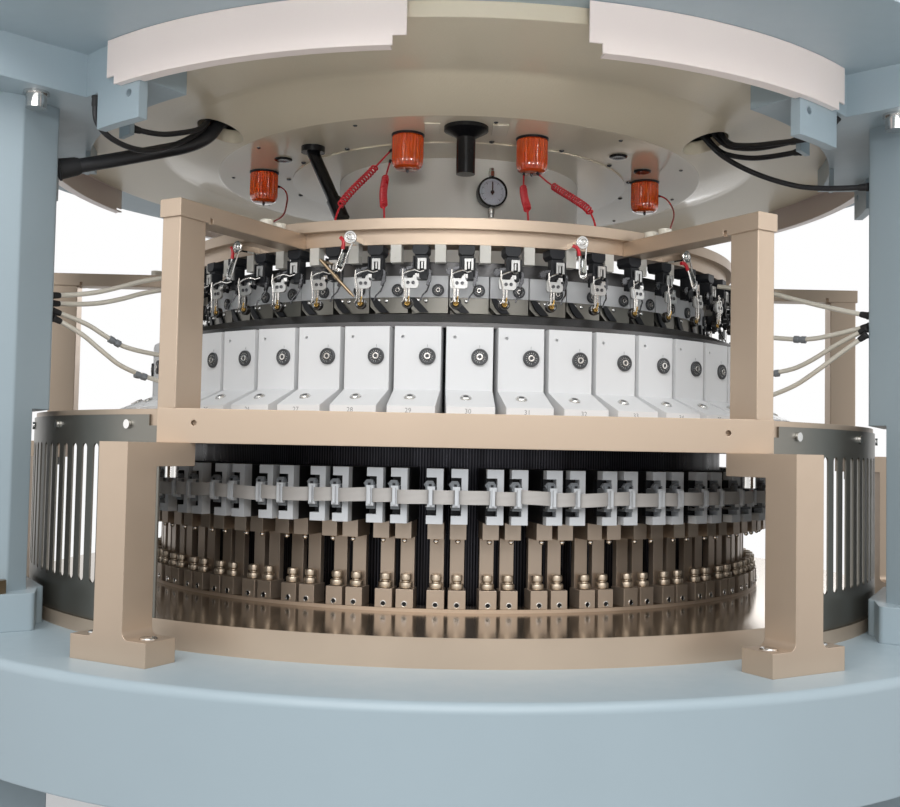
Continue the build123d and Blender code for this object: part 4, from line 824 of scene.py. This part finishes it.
def feeder_finger():
    """Twin strip that leads the yarn down to the eyelet, with its bent hook."""
    made = Shape()
    near, far = FEEDER_FRONT_R - 2.5, FEEDER_FRONT_R - 0.5
    for x in (-14.8, -11.2):
        made.prism([(x - 1.1, 1357.5), (x + 1.1, 1357.5), (x + 0.8, 1342.5), (x - 1.2, 1342.5)], near, far)
    made.box((-16, -far, 1341.8), (-10, -near, 1344))
    return made.tube([(-18.5, -433.5, 1379), (-19, -434.5, 1370), (-16.5, -435, 1360), (-16, -435, 1348),
                      (-17, -434.5, 1342.5), (-19.5, -434, 1340.5)], 0.8, 6)


def feeder_hook():
    """Bent wire arm from the holder to the plate."""
    path = [(4, -419.5, 1379.5), (-1, -423, 1377.5), (-6, -428, 1379), (-12, -432.5, 1376.5), (-17.5, -433, 1374),
            (-18.2, -432.5, 1369)]
    return Shape().tube(path, 1.1, 7).box((-5, -430, 1370), (0, -415, 1374.5))


def eyelet_rubber():
    return Shape().lathe([(6.4, -4), (6.6, -1), (6.4, 1.8), (5.2, 2.4), (3.6, 1.6), (3, -3)], 22,
                         facing(*EYELET))


def eyelet_brass():
    made = Shape().lathe([(3, -1), (3.1, 2.2), (2.7, 3), (2, 2.8), (1.4, 1)], 16,
                         facing(*EYELET))
    return made.tube([(-13.3, -431, 1340.2), (-11.8, -432.2, 1344), (-11.2, -432.2, 1348)], 0.9, 6)


def gear_lever():
    """Small dark gear-shaped latch wheel beside the holder, with its arm."""
    wheel = [(-20.5 + r * math.cos(a + shift), 1379 + r * math.sin(a + shift)) for a in azimuths(0, 9)
             for shift, r in ((-0.20, 3.6), (-0.12, 5), (0.12, 5), (0.20, 3.6))]
    made = Shape().prism(wheel, 416.5, 419.5)
    made.prism([(-21.5, 1380), (-16, 1385), (-7.5, 1386), (-7.5, 1382.5), (-15, 1381), (-19.5, 1376.5)], 414, 416.5)
    made.prism([(8, 1383), (12.5, 1380), (12, 1369), (8.5, 1362), (6, 1364), (8.5, 1372)], 412, 416)
    return made.tube([(10, -415, 1364), (8, -419, 1356), (3, -422, 1350), (1, -422.5, 1344)], 1, 6)


def shoe_screws():
    made = Shape()
    for x, z in ((1, -4.2), (-8.5, -3.5)):
        made.join(round_head(facing(x, DIAL_CAM_R - 1.2, CAM_BOTTOM + z), 2.8, 2.2))
    return made


def shoe_wedge():
    """Dark wedge-shaped stitch cam seen in the notch of each shoe."""
    foot, head = SHOE_BOTTOM + 0.5, CAM_BOTTOM - 0.5
    outline = [(-18.5, head), (-12, head), (-6, head - 6), (1.5, foot + 4), (5, foot), (-6, foot), (-13, foot + 7)]
    return Shape().prism(outline, DIAL_CAM_R - 1.2, DIAL_CAM_R + 2.2)


def make_feeders():
    turns = azimuths(STATION_TURN)
    for builder, name, material, slot, bevel, node in (
            (holder_template, "feeder_holder_bodies", BLACK, "black_plastic", 0.5, "feeder_holders"),
            (feeder_plate, "feeder_plates", WHITE_SATIN, "chrome", 0.3, "yarn_feeders"),
            (keyhole_plate, "feeder_keyhole_plates", WHITE_SATIN, "chrome", 0.3, None),
            (feeder_holes, "feeder_plate_eyes", GUN_METAL, "chrome", 0, None),
            (feeder_finger, "feeder_fingers", NICKEL, "chrome", 0.2, None),
            (feeder_hook, "feeder_hooks", CHROME, "chrome", 0.2, None),
            (eyelet_rubber, "eyelet_rings", CERAMIC, "black_plastic", 0, None),
            (eyelet_brass, "eyelet_brasses", BRASS, "chrome", 0, None),
            (gear_lever, "feeder_latches", GUN_METAL, "dark_steel", 0.3, None),
            (shoe_screws, "shoe_screws", CHROME, "chrome", 0, None),
            (shoe_wedge, "stitch_wedges", BLACK, "black_plastic", 0.4, None)):
        builder().around(turns).piece(name, material, slot, node, bevel=bevel)


# Cam boxes.

def dial_face(r, at):
    """Stitch dial: rim, tick ring, sunk channel and a chrome-ringed centre."""
    return Shape().lathe([(r, -0.3), (r, 2.2), (r * 0.93, 2.8), (r * 0.78, 2.8), (r * 0.74, 2.1), (r * 0.52, 2.1),
                          (r * 0.48, 2.7), (r * 0.36, 2.7)], 32, at)


def dial_ticks(r, at, count=16):
    """Ticks all around, with every fourth one left out in the upper half."""
    made = Shape()
    for k, a in enumerate(azimuths(0, count)):
        if k % 4 != 1 or k <= 8:
            tick = Shape().box((-0.22, r * 0.54, 2), (0.22, r * 0.72, 2.35))
            made.join(tick.placed(at @ Matrix.Rotation(a, 4, "Z")))
    return made


def dial_ring(r, at):
    return Shape().lathe([(r * 0.40, 2), (r * 0.40, 3.4), (r * 0.30, 3.6), (r * 0.22, 3.4), (r * 0.20, 1.2)], 24, at)


def dial_slot(r, at):
    return Shape().lathe([(r * 0.20, 1.2), (r * 0.20, 1.8), (r * 0.02, 1.8)], 12, at)


def make_cam_boxes():
    turns = azimuths(BOX_TURN)
    sets = [(9.4, facing(11.3, BOX_FACE_R + 0.4, BOX_TOP - 34), turns),
            (7.3, facing(11.5, DIAL_CAM_R + 0.4, CAM_TOP - 17.5), azimuths(DIAL_CAM_TURN))]
    for builder, name, material in ((dial_face, "stitch_dial_faces", MATERIALS["dial_grey"]),
                                    (dial_ticks, "stitch_dial_ticks", WHITE_SATIN),
                                    (dial_ring, "stitch_dial_rings", NICKEL),
                                    (dial_slot, "stitch_dial_sockets", GLOSS_BLACK)):
        joined = Shape()
        for radius, at, places in sets:
            joined.join(builder(radius, at).around(places))
        joined.piece(name, material, "dial_grey", "stitch_dials")
    mark = Shape().box((11.1, -BOX_FACE_R - 0.2, BOX_TOP - 23.5), (11.5, -BOX_FACE_R + 1, BOX_TOP - 20.5))
    mark.around(turns).piece("dial_index_marks", INK_GREY, "dial_grey")
    at = (upright(-4.5, (BOX_FACE_R + BOX_FOOT_R) / 2, RAIL_TOP + 19.2)
          @ Matrix.Rotation(math.atan2(20, 47), 4, "X"))
    screw = Shape().lathe([(6.8, 0), (6.8, 0.6), (6, 1), (6, 1.6), (5.2, 2.4), (3.3, 2.4)], 24, at)
    screw.faces.pop()
    screw.around(turns).piece("cam_box_cap_screws", CHROME, "chrome", "cam_box_screws")
    socket = Shape().lathe([(3.4, 2.3), (3.1, 0.8), (0.2, 0.6)], 6, at)
    socket.around(turns).piece("cam_box_screw_sockets", GLOSS_BLACK, "gloss_black")


def make_numbers():
    """Plain station numbers on the foot of each cam box."""
    joined = Shape()
    at = facing(-3, BOX_FOOT_R + 0.02, RAIL_TOP + 1.5)
    for k in range(STATIONS):
        text = bpy.data.curves.new("number", "FONT")
        text.body = str((k + 29) % STATIONS + 1)
        text.size = 7.5
        text.extrude = 0.08
        text.align_x = "CENTER"
        text.resolution_u = 2
        holder = new_object("number", text)
        mesh = evaluated_mesh(holder)
        number = Shape().add([at @ v.co for v in mesh.vertices], [tuple(p.vertices) for p in mesh.polygons])
        joined.join(number.around([BOX_TURN + PITCH * k]))
        bpy.data.objects.remove(holder)
        bpy.data.curves.remove(text)
        bpy.data.meshes.remove(mesh)
    joined.piece("station_numbers", INK_GREY, "dial_grey")


# Electronic needle actuators.

def actuator_azimuths():
    return [ACTUATOR_MIDDLE + PITCH * k + side * ACTUATOR_SPREAD / 2 for k in range(STATIONS) for side in (-1, 1)]


def thumb_screw():
    """Two knurled drums with a waist between them."""
    return Shape().lathe([(6, 0), (7.4, 0.8), (7.6, 1.8), (7.6, 5.6), (7, 6.8), (4.6, 7.6), (4.4, 8.8), (5.6, 9.4),
                          (6.2, 10.2), (6.2, 15), (5.6, 16.3), (3.6, 16.9), (1, 17)], 28,
                         upright(0, THUMB_SCREW_R, FOOT_TOP))


def foot_block():
    return Shape().box((-10, -FOOT_FRONT_R + 0.1, FOOT_LOW), (10, -424, FOOT_TOP))


def foot_rim():
    return Shape().lathe([(3.6, -0.1), (3.4, 0.7), (2.6, 0.8), (2.4, -0.1)], 14,
                         facing(0, FOOT_FRONT_R, FOOT_LOW + 4.5))


def foot_bore():
    return Shape().lathe([(2.5, -0.1), (2.5, 0.3), (0.3, 0.3)], 12, facing(0, FOOT_FRONT_R, FOOT_LOW + 4.5))


def selector_details():
    """Grey connector with its small latch in front of each frame's opening, its shadow gaps and its pins."""
    z = low_z("selector_frames")
    body = Shape().box((-8.5, -503, z + 15), (1.1, -484, z + 40)).box((-9.7, -506, z + 36), (-0.5, -500, z + 44))
    body.prism([(-12, z + 42.5), (-8.5, z + 46.5), (-2, z + 46.5), (0.5, z + 42), (-2, z + 38.5), (-9.5, z + 38.5)],
               498.5, 503.5)
    dark = Shape().box((-8.9, -486.5, z + 9.5), (1.7, -480.5, z + 49.5))
    dark.box((-6.1, -506.9, z + 38.5), (-3.1, -505.5, z + 43.2))
    pins = Shape()
    for k in range(6):
        pins.box((-9.5, -499, z + 18 + 3 * k), (-8.4, -489, z + 19.2 + 3 * k))
    return body, dark, pins


def ball_screw(rows=6):
    ball = [(3 * math.sin(t), 3 * math.cos(t) - 3) for t in (math.pi * k / rows for k in range(1, rows))]
    return Shape().lathe([(1.2, 0.2)] + ball + [(0.8, -6)], 12,
                         upright(0, BALL_SCREW_R, high_z("actuator_posts") - 19))


def ribbon_band(steps=14):
    """The ribbon cable: it leaves each connector and bulges out like a barrel until the next one."""
    edges = (low_z("ribbon_cable") + RIBBON_INSET, high_z("ribbon_cable") - RIBBON_INSET)
    turns = actuator_azimuths()
    lean = 3.5 / 513
    made = Shape()
    for a, after in zip(turns, turns[1:] + [turns[0] + math.tau]):
        lift, tilt = random.uniform(-1.2, 1.0), random.uniform(-1.6, 1.6)
        bulge = random.uniform(8.5, 11.2)
        rings = []
        for share in (step / steps for step in range(steps + 1)):
            turn = a - lean + (after - a) * (0.04 + 0.92 * (0.5 - 0.5 * math.cos(math.pi * share)))
            r = RIBBON_R + bulge * math.sin(math.pi * share) ** 0.6
            shift = lift + tilt * (2 * share - 1)
            rings.append([((r - depth) * math.sin(turn), -(r - depth) * math.cos(turn), z + shift)
                          for depth, z in ((0, edges[0]), (0, edges[1]), (0.9, edges[1]), (0.9, edges[0]))])
        made.rows(rings)
    return made


def make_actuators():
    turns = actuator_azimuths()
    band = ribbon_band()
    body, dark, pins = selector_details()
    band.piece("ribbon_cable_band", MATERIALS["ribbon_grey"], "ribbon_grey", "ribbon_cable", smooth=50)
    for shape, name, material, slot, bevel, node in (
            (foot_block(), "actuator_foot_blocks", MATERIALS["champagne_actuator"], "champagne_actuator", 0.5,
             "actuator_feet"),
            (thumb_screw(), "knurled_thumb_screws", GOLD_NICKEL, "champagne_actuator", 0, "actuator_feet"),
            (foot_rim(), "foot_hole_rims", CHROME, "chrome", 0, None),
            (foot_bore(), "foot_holes", GLOSS_BLACK, "gloss_black", 0, None),
            (body, "selector_connectors", CONNECTOR_GREY, "dial_grey", 0.4, None),
            (dark, "selector_shadows", BLACK, "black_plastic", 0, None),
            (pins, "selector_pins", NICKEL, "chrome", 0, None),
            (ball_screw(), "post_ball_screws", CHROME, "chrome", 0, None)):
        shape.around(turns).piece(name, material, slot, node, bevel=bevel)


# Lamps, gauge and other fittings under the dish.

def make_lamps(ribs=30):
    """Ribbed amber lenses with their bulbs, screwed under the dish."""
    lens, base, core, pin = Shape(), Shape(), Shape(), Shape()
    rows = [(0.96, -2.5), (1.0, -4.5), (1.0, -34), (0.97, -38.5), (0.88, -43), (0.70, -45.5), (0.40, -46),
            (0.08, -46)]
    for r, azimuth in LAMPS:
        at = hanging(r, math.radians(azimuth))
        rings = []
        for share, h in rows:
            groove = 0.965 if share > 0.9 else 1.0
            radii = [LENS_R * share, LENS_R * share * groove] * ribs
            rings.append([at @ Vector((radius * math.cos(a), radius * math.sin(a), h))
                          for radius, a in zip(radii, azimuths(0, 2 * ribs))])
        lens.rows(rings)
        base.lathe([(21.5, -0.1), (21.5, -1.6), (20.5, -2.6), (15, -2.8)], 32, at)
        core.lathe([(5, -4.5), (6.8, -14), (7.5, -22), (6, -30), (2, -33.5)], 16, at)
        pin.lathe([(1.6, -45.5), (2.2, -47), (1.6, -49), (0.5, -49.8)], 10, at)
    lens.piece("lamp_lenses", MATERIALS["amber"], "amber", "stop_lamps", smooth=20)
    base.piece("lamp_bases", BLACK, "black_plastic")
    core.piece("lamp_bulbs", moulded("warm_bulb", (0.9, 0.42, 0.12), 0.2), "amber")
    pin.piece("lamp_pins", GUN_METAL, "dark_steel")


def make_gauge():
    """Air gauge: black case, pale face with its scale, glass and fittings."""
    turn = [GAUGE_TURN]
    at = facing(0, GAUGE_BACK, GAUGE_Z)
    depth = GAUGE_FRONT - GAUGE_BACK
    case = Shape().lathe([(18.5, 0), (20, 0.6), (20.5, 4), (20.5, 10), (21, 10.5), (21, depth - 0.8), (20.3, depth),
                          (18.8, depth), (18.4, depth - 1.2), (18.4, depth - 3)], 48, at)
    case.faces.pop()
    case.around(turn).piece("gauge_case", GLOSS_BLACK, "gloss_black", "air_gauge")
    face = Shape().lathe([(18.4, depth - 3.4), (18.4, depth - 3), (0.1, depth - 3)], 48, at)
    face.around(turn).piece("gauge_face", DIAL_WHITE, "cream_plastic")
    marks = Shape()
    for k in range(41):
        inner, half = (12.5, 0.28) if k % 5 == 0 else (14.2, 0.14)
        tick = Shape().box((inner, -half, depth - 2.98), (16, half, depth - 2.9))
        marks.join(tick.placed(at @ Matrix.Rotation(math.radians(225 - 270 * k / 40), 4, "Z")))
    marks.around(turn).piece("gauge_scale", INK, "black_plastic")
    glass = Shape().lathe([(18.3, depth - 1.1), (18.3, depth - 0.6), (0.2, depth - 0.6)], 48, at)
    glass.around(turn).piece("gauge_glass", GLASS, "gloss_black")
    up = upright(0, (GAUGE_BACK + GAUGE_FRONT) / 2, GAUGE_Z)
    fit = Shape().lathe([(4, -34.5), (4, -30), (5, -29.5), (5, -23), (3, -22.5), (3, -20)], 16, up)
    fit.lathe([(3, 20), (3, 22.5), (4.6, 23), (4.6, 30), (3.6, 30.5), (3.6, 34.5)], 6, up)
    fit.lathe([(5.5, -7), (5.5, 0.4)], 6, at)
    fit.around(turn).piece("gauge_fittings", CHROME, "chrome", bevel=0.3)


def make_dish_fittings():
    """Blanked oval plugs, cover screws and small plates on the dish floor."""
    plugs = Shape()
    for x, y in ((-253, -148), (213, -206), (261, -132)):
        plugs.lathe([(12.5, -0.1), (12.5, -1.8), (11, -2.6), (7, -2.2), (0.4, -2)], 28, upright(x, -y, DISH_FLOOR))
    plugs.piece("dish_plugs", GLOSS_BLACK, "gloss_black")
    screws = Shape()
    for count, start, r, radius, height in ((16, 0.35, 262, 3.6, 2.6), (12, 0.2, 345, 2.8, 1.8)):
        for turn in azimuths(math.tau * start / count, count):
            at = hanging(r, turn) @ Matrix.Translation((0, 0, 0.1)) @ Matrix.Rotation(math.pi, 4, "X")
            screws.join(round_head(at, radius, height))
    screws.piece("dish_screws", GUN_METAL, "dark_steel")
    tabs = Shape()
    for x in (-43, 43):
        tabs.box((x - 10, -335, DISH_FLOOR - 1.6), (x + 10, -292, DISH_FLOOR + 0.1))
    tabs.piece("dish_tabs", COVER_CREAM, "cream_paint", bevel=0.5)


# Yarn stop detectors.

def make_detectors():
    """Swinging feelers: clamp ring, a bent wire loop, a clear roller between its legs and a red sleeve."""
    z = (low_z("detector_posts") + high_z("detector_posts")) / 2
    quarter = Matrix.Rotation(math.radians(90), 4, "X")
    loop = [(-5.2, -4.5), (-4.6, -12), (-3.8, -20), (-4.2, -30), (-4.4, -36), (-3.4, -40.5), (0, -42.5)]
    loop += [(-x, y) for x, y in loop[-2::-1]]
    for k, (azimuth, tilt) in enumerate(DETECTORS, 1):
        body = f"detector_{k}"
        at = (Matrix.Rotation(math.radians(azimuth), 4, "Z") @ facing(0, DETECTOR_R, z)
              @ Matrix.Rotation(math.radians(tilt), 4, "Z"))
        wire = Shape().lathe([(7.2, 0.2), (8, 1), (8, 2.8), (7.2, 3.6), (5.6, 3.6), (5, 2.6), (3.6, 2.6), (3.6, 4.6),
                              (2.8, 5.2), (2.2, 4)], 26, at)
        wire.tube([at @ Vector((x, y, 2)) for x, y in loop], 1, 8)
        wire.lathe([(1.8, -0.5), (3, 0), (3, 2.5), (1.8, 3)], 14, at @ Matrix.Translation((0, -38.5, 1.8)) @ quarter)
        wire.piece(f"feeler_{k}", CHROME, "chrome", f"detector_arm_{k}", body)
        roller = Shape().lathe([(0.8, 0), (3, 0.4), (3.4, 2), (3.4, 15), (3, 16.6), (0.8, 17)], 20,
                               at @ Matrix.Translation((0, -19, 2)) @ quarter)
        roller.piece(f"feeler_roller_{k}", CLEAR, "chrome", None, body)
        sleeve = [at @ Vector(v) for v in ((-4, -16, 2), (-5, -10, 2.2), (-7.2, -6, 1.8), (-12, -4, 1))]
        Shape().tube(sleeve, 2.3, 10).piece(f"feeler_sleeve_{k}", RED, "red_plastic", None, body)


def make_yarn_rod():
    """Bronze rod with its collar on a bracket beside the second feeler."""
    top, end = Vector((-169.9, -412.4, 1389.9)), Vector((-129, -427, 1345.4))
    length = (end - top).length
    rod = Shape().lathe([(0.9, -1), (1.9, 0), (1.9, length * 0.42), (2.8, length * 0.43), (2.8, length * 0.50),
                         (2, length * 0.51), (1.9, length * 0.90), (0.8, length)], 14, along(top, end))
    near = Vector((-159, -388, 1389.5))
    rod.tube([near, near.lerp(top, 0.5), top.lerp(end, 2 / length)], 1.7, 8)
    rod.piece("yarn_rod", BRONZE, "champagne_actuator")


# Frame details.

def make_frame_details():
    """Socket screws in the feet and the rail, and the hose connectors."""
    sockets = Shape()
    for side in (-1, 1):
        at = upright(side * LEG_SCREW_SIDE, LEG_SCREW_R, BED_TOP + 24)
        rim = Shape().lathe([(8.8, -0.5), (8.8, 0.6), (8, 1.4), (5, 1.4)], 24, at)
        rim.faces.pop()
        sockets.join(rim.around(LEG_AZIMUTHS))
        sockets.join(Shape().lathe([(5, 1.4), (4.6, 0.1), (0.2, 0.1)], 6, at).around(LEG_AZIMUTHS))
    sockets.piece("leg_socket_screws", CHROME, "chrome")
    rail = Shape()
    for x in RAIL_SCREW_SIDES:
        at = upright(x, RAIL_SCREW_R, RAIL_TOP - 3.4)
        rail.lathe([(5.5, 0), (5.5, 3.4), (4.95, 4), (3.025, 4)], 20, at)
        rail.faces.pop()
        recess = Shape().lathe([(3.025, 4), (2.75, 2), (0.275, 1.8)], 6, at)
        recess.faces.pop(-2)
        rail.join(recess)
    rail.around(azimuths(0, 3)).piece("rail_screws", GUN_METAL, "dark_steel")
    connectors = Shape()
    for name, place in (("left_c", 2), ("left_d", 3), ("right_b", 2), ("right_c", 3)):
        a, b = (Vector(point) for point in CORDS["hose_" + name][1][place:place + 2])
        connectors.lathe([(3.5, -8), (4.6, -7.5), (4.6, -2), (3.9, -1.5), (3.9, 1.5), (4.6, 2), (4.6, 7.5), (3.5, 8)],
                         16, along(a.lerp(b, 0.3), b))
    connectors.piece("hose_connectors", CONNECTOR_GREY, "dial_grey")


# Assembly.

make_camera()
make_cords()
make_reliefs()
for entry in frame["record"]["subparts"]:
    dress(entry["node"], SPECIAL.get(entry["node"], MATERIALS[entry["material_slot"]]))
make_feeders()
make_cam_boxes()
make_numbers()
make_actuators()
make_lamps()
make_gauge()
make_dish_fittings()
make_detectors()
make_yarn_rod()
make_frame_details()
make_floor()
make_light()
